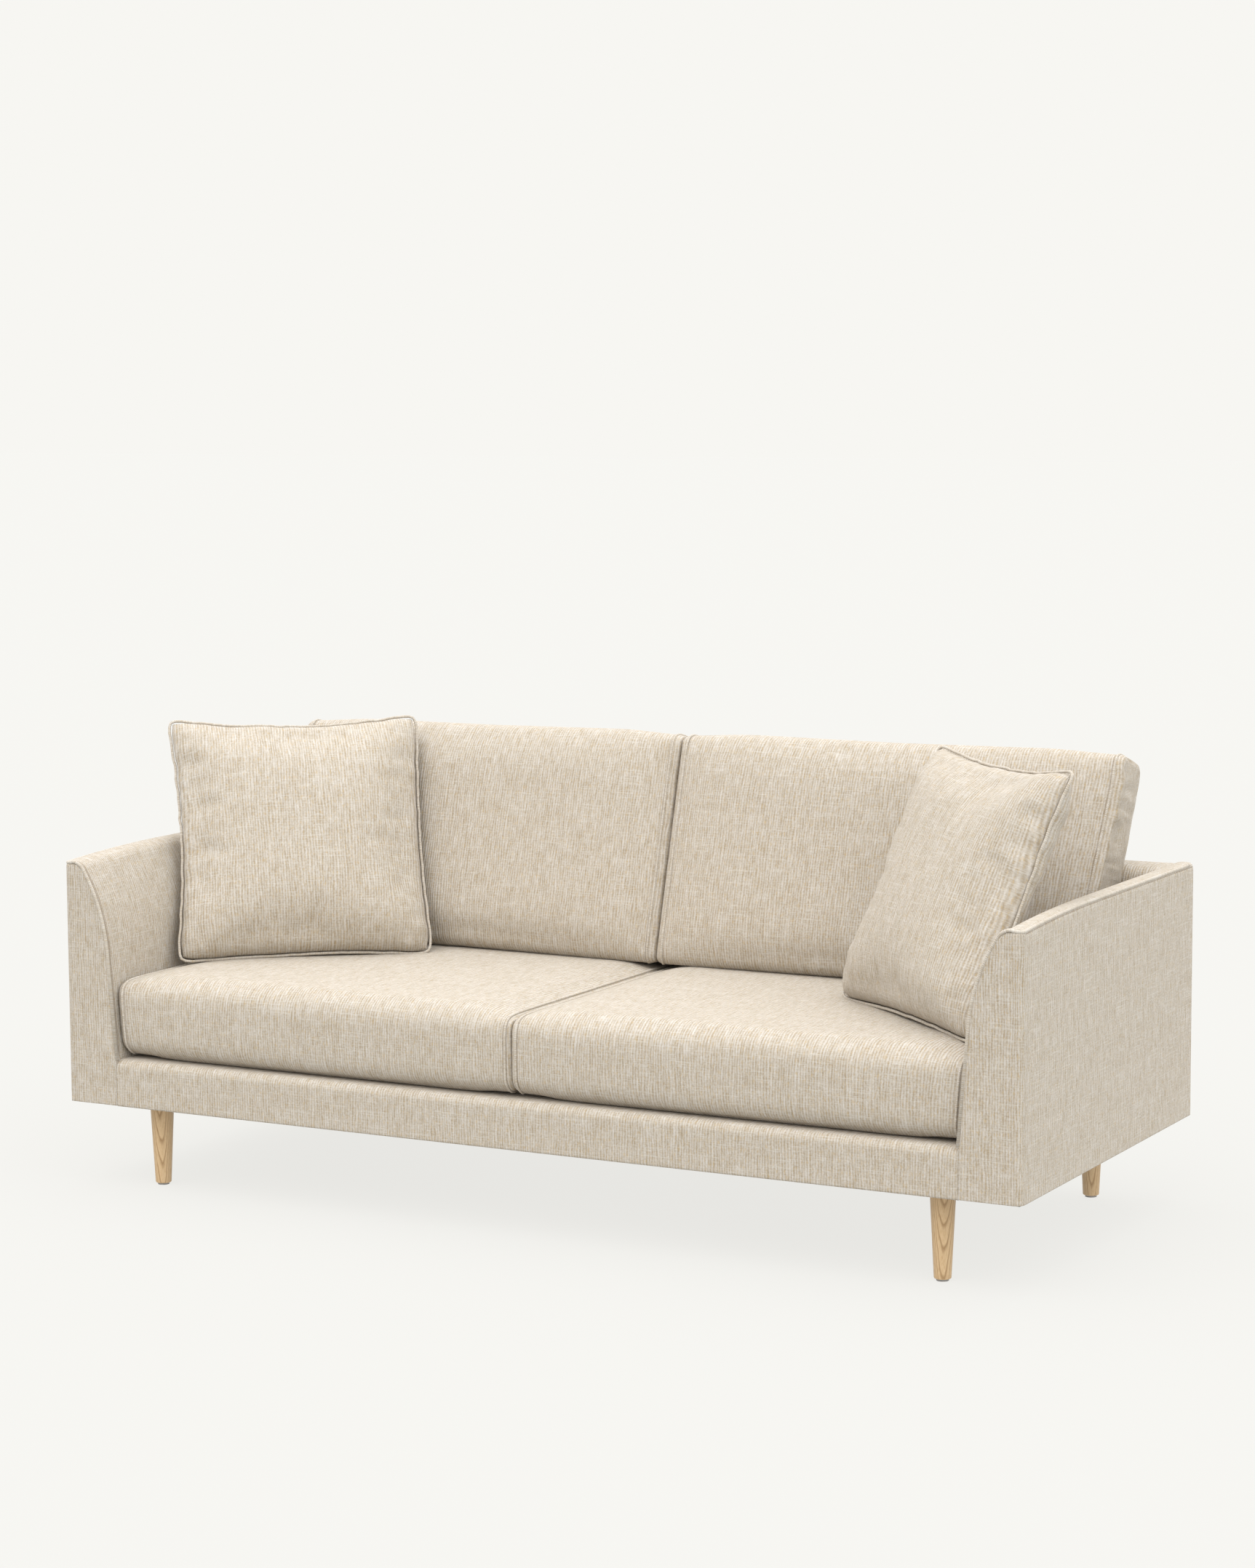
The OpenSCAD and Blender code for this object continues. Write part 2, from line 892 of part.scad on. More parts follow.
function pillow_y(room) = cushion_foot_y
    - (pillow_reach_back + room - (pillow_z - back_bottom) * sin(back_rake)) / cos(back_rake);

module at_pillow(side) {
    y = pillow_y(side > 0 ? pillow_right_room : pillow_left_room);
    translate([side * (half_width - pillow_inset), y, pillow_z])
        rotate([0, 0, -side * pillow_turn])
            rotate([-pillow_lean, 0, 0])
                children();
}

module pillow_pad(side) {
    color(foam_tint)
        at_pillow(side)
            pillow_form(cloth + 0.1);
}

module pillow_cover(side) {
    color(oat)
        at_pillow(side)
            difference() {
                pillow_form(0);
                pillow_form(cloth);
            }
}

module pillow_pad_left() { pillow_pad(-1); }
module pillow_pad_right() { pillow_pad(1); }
module pillow_cover_left() { pillow_cover(-1); }
module pillow_cover_right() { pillow_cover(1); }

front_rail();
rear_rail();
side_rail_left();
side_rail_right();
centre_stretcher();
leg_blocks();
arm_post_left();
arm_post_right();
arm_top_rail_left();
arm_top_rail_right();
arm_liner_left();
arm_liner_right();
back_upright_left();
back_upright_middle();
back_upright_right();
back_top_rail();
back_board();
seat_springs();
spring_clips();
deck_pad();
deck_cloth();
dust_cover();
frame_bolts();
upright_screws();
rail_foam();
arm_foam_left();
arm_foam_right();
back_foam();
rail_cover();
arm_inner_cover_left();
arm_inner_cover_right();
arm_outer_cover_left();
arm_outer_cover_right();
arm_piping_left();
arm_piping_right();
back_inner_cover();
back_outer_cover();
leg_front_left();
leg_front_right();
leg_rear_left();
leg_rear_right();
glides();
hanger_bolts();
tee_nuts();
seat_foam_left();
seat_foam_right();
seat_cover_left();
seat_cover_right();
back_fill_left();
back_fill_right();
back_cover_left();
back_cover_right();
pillow_pad_left();
pillow_pad_right();
pillow_cover_left();
pillow_cover_right();
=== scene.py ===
# %% [markdown]
# # A two-seat-cushion sofa on ash legs
# A sofa is a timber frame dressed in foam and cloth, with loose cushions on
# top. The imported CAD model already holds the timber, springs and bolts, so this
# lesson keeps those and replaces every foam and cloth block with a soft piece.
# Loading the frame first gives each piece a body to ride on and a box to fill.

# %% Load the frame
import math

import bmesh
import bpy
import numpy as np
from mathutils import Matrix, Vector, noise


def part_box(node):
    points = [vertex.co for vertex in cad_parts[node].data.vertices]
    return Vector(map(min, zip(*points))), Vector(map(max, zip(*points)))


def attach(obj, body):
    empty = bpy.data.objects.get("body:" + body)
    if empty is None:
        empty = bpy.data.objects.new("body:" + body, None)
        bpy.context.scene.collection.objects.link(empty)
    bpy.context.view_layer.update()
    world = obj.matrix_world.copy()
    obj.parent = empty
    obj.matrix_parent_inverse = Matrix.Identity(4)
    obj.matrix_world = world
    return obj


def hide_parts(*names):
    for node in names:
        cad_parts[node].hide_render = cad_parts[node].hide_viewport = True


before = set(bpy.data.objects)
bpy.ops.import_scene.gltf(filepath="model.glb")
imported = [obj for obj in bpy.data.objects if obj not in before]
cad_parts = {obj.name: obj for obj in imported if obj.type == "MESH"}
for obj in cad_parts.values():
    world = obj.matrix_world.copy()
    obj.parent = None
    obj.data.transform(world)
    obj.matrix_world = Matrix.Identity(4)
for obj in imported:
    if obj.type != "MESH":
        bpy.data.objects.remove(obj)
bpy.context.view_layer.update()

# %% [markdown]
# ## The camera
# A sofa is usually shown from standing eye height and some metres back, with a
# long lens, so that its edges stay nearly parallel. The place, turn and tilt
# below are set as a turntable would be: turn about Z, then tip, then a slight roll.

# %% Camera
AZIMUTH, ELEVATION, ROLL = (math.radians(a) for a in (28.30, 6.51, -0.32))

camera = bpy.data.objects.new("camera", bpy.data.cameras.new("camera"))
bpy.context.scene.collection.objects.link(camera)
camera.data.sensor_fit = "HORIZONTAL"
camera.data.sensor_width = 36
camera.data.lens = 102.28
camera.data.clip_end = 200
camera.matrix_world = (
    Matrix.Translation((3.4627, -6.3979, 1.6803))
    @ Matrix.Rotation(AZIMUTH, 4, "Z")
    @ Matrix.Rotation(math.pi / 2 - ELEVATION, 4, "X")
    @ Matrix.Rotation(ROLL, 4, "Z")
)
bpy.context.scene.camera = camera
bpy.context.scene.view_settings.view_transform = "Standard"
print("camera at", tuple(round(c, 2) for c in camera.location), "lens", camera.data.lens)

# %% [markdown]
# ## Materials are node trees
# Every finish here is drawn by nodes, with no pictures. Two small helpers keep
# the trees readable: `add` makes a node with its settings, and `new_finish`
# starts a material with one Principled shader whose own sockets hold the
# numbers that are the same all over.

# %% Node helpers
def add(tree, kind, values=None, **settings):
    made = tree.nodes.new(kind)
    for key, value in settings.items():
        setattr(made, key, value)
    for key, value in (values or {}).items():
        made.inputs[key].default_value = value
    return made


def sums(tree, operation, a, b, c=None):
    made = tree.nodes.new("ShaderNodeMath")
    made.operation = operation
    for i, value in enumerate((a, b) if c is None else (a, b, c)):
        if isinstance(value, (int, float)):
            made.inputs[i].default_value = value
        else:
            tree.links.new(value, made.inputs[i])
    return made.outputs[0]


def new_finish(name, **shader_values):
    material = bpy.data.materials.new(name)
    material.use_nodes = True
    shader = material.node_tree.nodes["Principled BSDF"]
    for key, value in shader_values.items():
        shader.inputs[key.replace("_", " ")].default_value = value
    return material, material.node_tree, shader


def ramp(tree, factor, stops):
    made = tree.nodes.new("ShaderNodeValToRGB")
    while len(made.color_ramp.elements) < len(stops):
        made.color_ramp.elements.new(0.5)
    for element, (place, colour) in zip(made.color_ramp.elements, stops):
        element.position = place
        element.color = (*colour, 1)
    tree.links.new(factor, made.inputs["Fac"])
    return made.outputs["Color"]


def bumped(tree, shader, height, strength, distance):
    made = add(tree, "ShaderNodeBump", {"Strength": strength, "Distance": distance})
    tree.links.new(height, made.inputs["Height"])
    tree.links.new(made.outputs["Normal"], shader.inputs["Normal"])


# %% [markdown]
# ## The oat linen
# The upholstery is a chunky slub weave: a thick cream yarn lies in ribs about
# 6 mm apart over a tan ground, and fine threads cross them. A UV map named
# "cloth" gives each piece its place on the bolt in metres, with U across the
# ribs and V along them, so that the ribs turn with each panel as cut cloth does.
# Noise stretched along V makes the yarn thick and thin. A seam attribute paints shade into the stitched grooves,
# darkening them where their shadow would fall.

# %% Linen
RIB = 0.0058


def linen(name, cream=(0.545, 0.508, 0.462), tan=(0.325, 0.264, 0.186), rib_depth=1.0):
    material, tree, shader = new_finish(
        name,
        Roughness=0.92,
        Specular_IOR_Level=0.18,
        Sheen_Weight=0.12,
        Sheen_Roughness=0.5,
    )
    link = tree.links.new
    place = add(tree, "ShaderNodeUVMap", uv_map="cloth")
    split = add(tree, "ShaderNodeSeparateXYZ")
    link(place.outputs["UV"], split.inputs[0])
    u, v = split.outputs["X"], split.outputs["Y"]

    def cloth_noise(across, along, detail=2.0, seed=0.0):
        spot = add(tree, "ShaderNodeCombineXYZ")
        link(sums(tree, "MULTIPLY_ADD", u, across, seed), spot.inputs["X"])
        link(sums(tree, "MULTIPLY_ADD", v, along, seed), spot.inputs["Y"])
        made = add(tree, "ShaderNodeTexNoise", {"Scale": 1.0, "Detail": detail}, noise_dimensions="2D")
        link(spot.outputs[0], made.inputs["Vector"])
        return made.outputs["Fac"]

    wander = sums(tree, "MULTIPLY", cloth_noise(30, 9), 1.6)
    turn = sums(tree, "MULTIPLY_ADD", u, 2 * math.pi / RIB, sums(tree, "MULTIPLY", wander, 2 * math.pi))
    rib = sums(tree, "MULTIPLY_ADD", sums(tree, "SINE", turn, 0.0), 0.5, 0.5)
    slub = cloth_noise(1.1 / RIB, 38, 3.0, 7.0)
    broken = cloth_noise(1.7 / RIB, 240, 2.0, 31.0)
    fleck = cloth_noise(420, 90, 1.0, 53.0)
    cross = cloth_noise(70, 620, 2.0, 71.0)
    cloud = cloth_noise(60, 14, 3.0, 17.0)
    weft = cloth_noise(11, 430, 1.0, 91.0)

    height = sums(tree, "MULTIPLY", rib, sums(tree, "MULTIPLY_ADD", slub, 0.9, 0.35))
    height = sums(tree, "MULTIPLY_ADD", broken, 0.5, height)
    height = sums(tree, "MULTIPLY_ADD", cross, 0.55, height)

    tone = sums(tree, "MULTIPLY_ADD", rib, 0.26, sums(tree, "MULTIPLY", slub, 0.62))
    tone = sums(tree, "MULTIPLY_ADD", broken, 0.50, tone)
    tone = sums(tree, "MULTIPLY_ADD", cross, 0.30, tone)
    tone = sums(tree, "MULTIPLY_ADD", cloud, 0.24, tone)
    tone = sums(tree, "SUBTRACT", tone, 0.46)
    mid = tuple((a + b) / 2 for a, b in zip(cream, tan))
    colour = ramp(tree, tone, [(0.20, tan), (0.50, mid), (0.80, cream)])
    sand = add(tree, "ShaderNodeMix", data_type="RGBA")
    sand.inputs[7].default_value = (0.47, 0.34, 0.17, 1)
    link(ramp(tree, fleck, [(0.60, (0, 0, 0)), (0.72, (0.45, 0.45, 0.45))]), sand.inputs[0])
    link(colour, sand.inputs[6])
    pale = add(tree, "ShaderNodeMix", data_type="RGBA")
    pale.inputs[7].default_value = (0.600, 0.575, 0.530, 1)
    link(ramp(tree, weft, [(0.61, (0, 0, 0)), (0.72, (0.30, 0.30, 0.30))]), pale.inputs[0])
    link(sand.outputs[2], pale.inputs[6])

    # Painted shade: where the seam attribute is set, the colour is multiplied by this warm dark tint, standing in
    # for the shadow in the stitched groove.
    seam_shade = add(tree, "ShaderNodeAttribute", attribute_name="seam_shade")
    dark = add(tree, "ShaderNodeMix", data_type="RGBA", blend_type="MULTIPLY")
    dark.inputs[7].default_value = (0.50, 0.44, 0.38, 1)
    link(seam_shade.outputs["Fac"], dark.inputs[0])
    link(pale.outputs[2], dark.inputs[6])
    link(dark.outputs[2], shader.inputs["Base Color"])
    bumped(tree, shader, height, 0.55 * rib_depth, 0.0016)
    return material


oat_linen = linen("oat linen")
# The piping copy has shallower ribs and a lighter tan ground. The lower rib contrast suits the wrapped cord, and
# the lighter ground is also painted light, lifting the shade that the thin cord and its grooves take on.
piping_linen = linen("oat linen piping", cream=(0.550, 0.512, 0.462), tan=(0.390, 0.335, 0.262), rib_depth=0.7)
print("ribs per metre", round(1 / RIB))

# %% [markdown]
# ## From an outline to a gridded block
# Most upholstered parts start as one outline drawn from the side and pushed
# along a straight line. A few corner points make the outline, a vertex bevel
# rounds each corner by its own radius, and an extrusion gives the length.
# Bisecting the block with parallel planes then lays the even grid that a soft
# surface needs. Scaling a cube would round every corner alike.

# %% Block helpers
AXES = {"X": Vector((1, 0, 0)), "Y": Vector((0, 1, 0)), "Z": Vector((0, 0, 1))}


def block(corners, radii, axis, start, end, arc=5):
    """corners are (a, b) pairs: (y, z) for axis X, (x, z) for axis Y."""
    bm = bmesh.new()
    place = (lambda a, b: (start, a, b)) if axis == "X" else (lambda a, b: (a, start, b))
    points = [bm.verts.new(place(*c)) for c in corners]
    bm.faces.new(points)
    for point, radius in zip(points, radii):
        if radius:
            bmesh.ops.bevel(
                bm, geom=[point], offset=radius, offset_type="OFFSET",
                affect="VERTICES", segments=arc, profile=0.5, material=-1,
            )
    face = bm.faces[:][0]
    face.normal_update()
    outline = [v.co.copy() for v in face.verts]
    grown = bmesh.ops.extrude_face_region(bm, geom=[face])
    moved = [g for g in grown["geom"] if isinstance(g, bmesh.types.BMVert)]
    bmesh.ops.translate(bm, verts=moved, vec=AXES[axis] * (end - start))
    bmesh.ops.recalc_face_normals(bm, faces=bm.faces)
    return bm, outline


def cut(bm, normal, places, centre=Vector((0, 0, 0))):
    for place in places:
        bmesh.ops.bisect_plane(
            bm, geom=bm.verts[:] + bm.edges[:] + bm.faces[:], dist=1e-5,
            plane_co=centre + Vector(normal) * place, plane_no=normal,
        )


def even(start, end, step):
    """Places strictly between start and end, about one step apart."""
    count = max(1, round((end - start) / step))
    return [start + (end - start) * i / count for i in range(1, count)]


def walk(outline):
    """The outline's points and how far along it each one lies."""
    ring = np.array([tuple(p) for p in outline])
    ahead = np.roll(ring, -1, axis=0)
    step = np.linalg.norm(ahead - ring, axis=1)
    return ring, ahead, step, np.concatenate([[0], np.cumsum(step)])


def along(outline_walk, point, keep):
    """How far round the outline a point lies, looking only at the two axes in keep."""
    ring, ahead, step, run = outline_walk
    a, b, p = ring[:, keep], ahead[:, keep], np.array(point)[keep]
    t = np.clip(((p - a) * (b - a)).sum(1) / np.maximum(step, 1e-9) ** 2, 0, 1)
    gap = np.linalg.norm(a + (b - a) * t[:, None] - p, axis=1)
    best = int(gap.argmin())
    return run[best] + t[best] * step[best]


def lay_cloth(bm, place):
    """Writes the cloth UV: place(face, point) gives (across the ribs, along them)."""
    layer = bm.loops.layers.uv.get("cloth") or bm.loops.layers.uv.new("cloth")
    for face in bm.faces:
        spots = [place(face, loop.vert.co) for loop in face.loops]
        high = max(s[1] for s in spots)
        for loop, (u, v) in zip(face.loops, spots):
            loop[layer].uv = (u, v)


# The seam attribute holds painted shade: how far each point of a stitched groove is darkened.
def seam_shade_layer(bm):
    return bm.verts.layers.float.get("seam_shade") or bm.verts.layers.float.new("seam_shade")


def piece(name, bm, material, body, replaced, smooth=1):
    mesh = bpy.data.meshes.new(name)
    for face in bm.faces:
        face.smooth = True
    bm.to_mesh(mesh)
    bm.free()
    made = bpy.data.objects.new(name, mesh)
    bpy.context.scene.collection.objects.link(made)
    mesh.materials.append(material)
    if smooth:
        finer = made.modifiers.new("finer", "SUBSURF")
        finer.levels = finer.render_levels = smooth
        finer.boundary_smooth = "PRESERVE_CORNERS"
    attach(made, body)
    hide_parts(*replaced)
    print(name, len(mesh.polygons), "faces")
    return made


# %% [markdown]
# ## Filling a cushion
# A cushion is sewn cloth pushed out by its filling. Cloth simulation with air
# pressure does just that: the sewn edges are held, the panels between them
# swell, and gravity is off because the foam carries the weight. How far a point
# may move is capped, and where the cushion rests on something it is pressed flat.

# %% Swell and press
def swell(bm, held, pressure, cap, spare=0.0, frames=20, stiffness=12.0):
    """Runs the cloth on the mesh in bm and moves its points to where they end."""
    rest = np.array([tuple(v.co) for v in bm.verts])
    scene = bpy.context.scene
    mesh = bpy.data.meshes.new("filling")
    bm.to_mesh(mesh)
    trial = bpy.data.objects.new("filling", mesh)
    scene.collection.objects.link(trial)
    group = trial.vertex_groups.new(name="held")
    group.add([v.index for v in held], 1.0, "REPLACE")
    cloth = trial.modifiers.new("filling", "CLOTH")
    how = cloth.settings
    how.quality = 6
    how.mass = 0.3
    how.tension_stiffness = how.compression_stiffness = stiffness
    how.shear_stiffness = stiffness / 3
    how.bending_stiffness = 0.6
    how.air_damping = 2.0
    how.use_pressure = True
    how.uniform_pressure_force = pressure
    how.shrink_min = -spare
    how.effector_weights.gravity = 0
    if held:
        how.vertex_group_mass = "held"
    cloth.collision_settings.use_collision = False
    cloth.point_cache.frame_start = 1
    cloth.point_cache.frame_end = frames
    for step in range(1, frames + 1):
        scene.frame_set(step)
    seen = trial.evaluated_get(bpy.context.evaluated_depsgraph_get())
    found = np.empty(len(seen.data.vertices) * 3, np.float32)
    seen.data.vertices.foreach_get("co", found)
    moved = found.reshape(-1, 3) - rest
    bm.normal_update()
    out = np.array([tuple(v.normal) for v in bm.verts])
    inward = np.minimum((moved * out).sum(1), 0)
    moved -= out * inward[:, None] * 0.9
    scene.frame_set(1)
    bpy.data.objects.remove(trial)
    bpy.data.meshes.remove(mesh)
    length = np.linalg.norm(moved, axis=1)
    soft = cap * np.tanh(length / cap) / np.maximum(length, 1e-9)
    for vert, step in zip(bm.verts, moved * soft[:, None]):
        vert.co += Vector(step)
    print("swelled by up to", round(float(length.max() * 1000), 1), "mm before the cap")
    return rest


def press(bm, planes):
    """Nothing goes beyond these planes: each is a point and the way out."""
    for spot, out in planes:
        spot, out = Vector(spot), Vector(out).normalized()
        for vert in bm.verts:
            over = (vert.co - spot).dot(out)
            if over > 0:
                vert.co -= out * over


def follow(verts):
    """The verts of one closed edge loop, in order."""
    left = set(verts)
    chain = [next(v for v in verts)]
    left.discard(chain[0])
    while True:
        ahead = [e.other_vert(chain[-1]) for e in chain[-1].link_edges]
        ahead = [v for v in ahead if v in left]
        if not ahead:
            return chain
        left.discard(ahead[0])
        chain.append(ahead[0])


def side_band(bm, at, inward, inset=0.0120, roll=0.008):
    """Rolls the cloth over to the side band, paints shade into the stitch groove beside it, and gives the line that
    its piping follows.
    """
    seam_shade = seam_shade_layer(bm)
    gaps = [inset * t for t in (0.15, 0.35, 0.55, 0.75, 1.0)] + [inset + d for d in (0.0032, 0.0055, 0.0095)]
    cut(bm, AXES["X"], [at + inward * d for d in gaps])
    bm.normal_update()
    moves, line = [], []
    for vert in bm.verts:
        d = (vert.co.x - at) * inward
        if d > inset + 0.011 or abs(vert.normal.x) > 0.9:
            continue
        out = Vector((0, vert.normal.y, vert.normal.z)).normalized()
        t = min(max((inset - d) / inset, 0), 1)
        pull = roll * (1 - math.sqrt(1 - t * t))
        # The stitch groove about 3 mm from the piping line is pressed in and given painted shade.
        if abs(abs(d - inset) - 0.0031) < 0.0004:
            pull += 0.0010
            vert[seam_shade] = 0.35
        if abs(d - inset) < 1e-4:
            line.append(vert)
        moves.append((vert, out * pull))
    for vert, move in moves:
        vert.co -= move
    return [v.co.copy() for v in follow(line)]


def settle(bm, keep, times=4, factor=0.5):
    """Irons small ridges out of every part that keep doesn't hold."""
    for _ in range(times):
        bmesh.ops.smooth_vert(
            bm, verts=[v for v in bm.verts if not keep(v.co)], factor=factor,
            use_axis_x=False, use_axis_y=True, use_axis_z=True,
        )


def soften(bm, corner, out_a, out_b, radius, near=None):
    """Rounds the long edge through corner, where the faces facing out_a and out_b meet."""
    corner, out_a, out_b = Vector(corner), Vector(out_a), Vector(out_b)
    for vert in bm.verts:
        if near and not near(vert.co):
            continue
        a = radius + (vert.co - corner).dot(out_a)
        b = radius + (vert.co - corner).dot(out_b)
        if a <= 0 or b <= 0:
            continue
        fair = 2 * radius * radius
        vert.co += out_a * (a * math.sqrt(max(0, 1 - b * b / fair)) - a)
        vert.co += out_b * (b * math.sqrt(max(0, 1 - a * a / fair)) - b)


def fall(t):
    """1 at 0, easing to 0 at 1 and beyond."""
    t = min(max(t, 0.0), 1.0)
    return 1 - t * t * (3 - 2 * t)


def ease_ends(bm, lo, hi, depth, reach):
    """Draws the top and front in towards the sewn ends, as a full cushion does."""
    bm.normal_update()
    steps = []
    for vert in bm.verts:
        if abs(vert.normal.x) > 0.9:
            continue
        d = min(vert.co.x - lo, hi - vert.co.x)
        n = Vector((0, vert.normal.y, vert.normal.z)).normalized()
        steps.append((vert, n * -depth * fall(d / reach) * max(0.0, n.z, -n.y)))
    for vert, step in steps:
        vert.co += step


print("helpers ready")

# %% [markdown]
# ## Self piping
# Piping is a cord wrapped in a strip of the same cloth and sewn into a seam. A
# curve with a round bevel gives the cord its even thickness along any seam, and
# it is made a mesh so that its cloth can be laid round it, with the ribs across.

# %% Piping
def tube(name, points, radius, body, material, closed=True):
    """A round self piping along a run of points, with its cloth laid across it."""
    points = [Vector(p) for p in points]
    line = bpy.data.curves.new(name, "CURVE")
    line.dimensions = "3D"
    spline = line.splines.new("POLY")
    spline.points.add(len(points) - 1)
    for spot, point in zip(spline.points, points):
        spot.co = (*point, 1)
    spline.use_cyclic_u = closed
    line.bevel_depth = radius
    line.bevel_resolution = 3
    line.use_fill_caps = not closed
    holder = bpy.data.objects.new(name, line)
    bpy.context.scene.collection.objects.link(holder)
    mesh = bpy.data.meshes.new_from_object(holder.evaluated_get(bpy.context.evaluated_depsgraph_get()))
    bpy.data.objects.remove(holder)
    bm = bmesh.new()
    bm.from_mesh(mesh)
    bpy.data.meshes.remove(mesh)
    bmesh.ops.remove_doubles(bm, verts=bm.verts, dist=1e-5)
    bmesh.ops.recalc_face_normals(bm, faces=bm.faces)
    ring = np.array([tuple(p) for p in points])
    step = np.linalg.norm(np.roll(ring, -1, axis=0) - ring, axis=1)
    run = np.concatenate([[0], np.cumsum(step)[:-1]])

    def place(face, co):
        near = int(np.linalg.norm(ring - np.array(co), axis=1).argmin())
        here = float(run[near])
        first = int(np.linalg.norm(ring - np.array(face.calc_center_median()), axis=1).argmin())
        if here - float(run[first]) < -0.5:
            here += float(step.sum())
        elif here - float(run[first]) > 0.5:
            here -= float(step.sum())
        return here * 1.6, (co - points[near]).length + co.z * 0.01

    lay_cloth(bm, place)
    return piece(name, bm, material, body, [], smooth=0)


# %% [markdown]
# ## Seat cushions
# Each seat cushion is a foam block in a boxed cover. One strip of cloth wraps
# from the back over the top and down the front, so the front edge is a soft
# roll with no seam, and a side gusset is sewn on at each end with self piping.
# The cushion is drawn from the side and pushed across. Its sewn ends are held
# while the filling swells the wrap.

# %% Seat cushions
RAKE = math.radians(14)
seat_low, seat_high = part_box("seat_cover_right")
REST = 0.0004


def box_planes(lo, hi, rear_top, top):
    back_out = (0, math.cos(RAKE), math.sin(RAKE) * -1)
    return [
        ((lo.x, 0, 0), (-1, 0, 0)), ((hi.x, 0, 0), (1, 0, 0)),
        ((0, 0, lo.z), (0, 0, -1)), (rear_top, back_out), ((0, 0, top), (0, 0, 1)),
    ]


def held_ends(bm, lo, hi):
    return [v for v in bm.verts if min(abs(v.co.x - lo), abs(v.co.x - hi)) < 1e-5
            and any(abs(f.normal.x) < 0.5 for f in v.link_faces)]


PIPING = 0.0025


def shift_middle(point):
    """The cushions were pushed a little to the left, so the middle seams stand off centre."""
    point.x -= 0.009 * fall(abs(point.x) / 0.4)


def pipe_ends(name, seams, floor):
    pipes = []
    for word, points in zip(("left", "right"), seams):
        for point in points:
            shift_middle(point)
            point.z = max(point.z, floor + PIPING + 0.001)
        pipes.append(tube(name + "_piping_" + word, points, PIPING, name, piping_linen))
    return pipes


def seat_cushion(side):
    name = "seat_cushion_" + ("right" if side > 0 else "left")
    lo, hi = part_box(name.replace("cushion", "cover"))
    top, front = hi.z - 0.008, lo.y + 0.006
    lean = math.tan(RAKE)
    rear_foot = hi.y - lean * (hi.z - lo.z) - 0.004
    corners = [
        (front, lo.z + 0.010), (front, top),
        (hi.y - 0.006, top), (rear_foot, lo.z + 0.004),
    ]
    bm, outline = block(corners, (0.034, 0.040, 0.010, 0.010), "X", lo.x, hi.x, arc=6)
    cut(bm, AXES["X"], even(lo.x, hi.x, 0.020))
    cut(bm, AXES["Y"], even(front + 0.04, hi.y - 0.07, 0.022))
    cut(bm, AXES["Z"], even(lo.z + 0.038, top - 0.04, 0.022))
    run = walk(outline)

    def place(face, co):
        if abs(face.normal.x) > 0.7:
            return co.y, co.z
        return co.x + side * 0.31, along(run, co, [1, 2])

    bm.normal_update()
    lay_cloth(bm, place)
    bm.verts.index_update()
    ends = held_ends(bm, lo.x, hi.x)
    ease_ends(bm, lo.x, hi.x, 0.008, 0.14)
    swell(bm, ends, 6.0, 0.020, spare=0.004)
    press(bm, box_planes(lo, hi, (0, hi.y, hi.z), hi.z + 0.004))
    settle(bm, lambda co: min(co.x - lo.x, hi.x - co.x) < 1e-4 or co.z < lo.z + 0.012, 3)
    seams = [side_band(bm, at, inward) for at, inward in ((lo.x, 1), (hi.x, -1))]

    def lean_on_arm(point):
        share = max(point.x * side / 0.943, 0) ** 6
        point.x += side * share * (0.003 + 0.080 * min(max(point.z - lo.z, 0), 0.16))

    for point in [v.co for v in bm.verts] + seams[0] + seams[1]:
        lean_on_arm(point)
    for point in bm.verts:
        shift_middle(point.co)
    made = piece(name, bm, oat_linen, name, [name.replace("cushion", part) for part in ("cover", "foam")])
    return [made] + pipe_ends(name, seams, lo.z)


seat_cushions = [seat_cushion(side) for side in (-1, 1)]

# %% [markdown]
# ## Back cushions
# The two back cushions lean on the raked back. They are softer than the seats,
# so they crown more, and the front cloth rolls over the top edge. Each is drawn
# from the side with its foot cut level, because it stands on the seat.

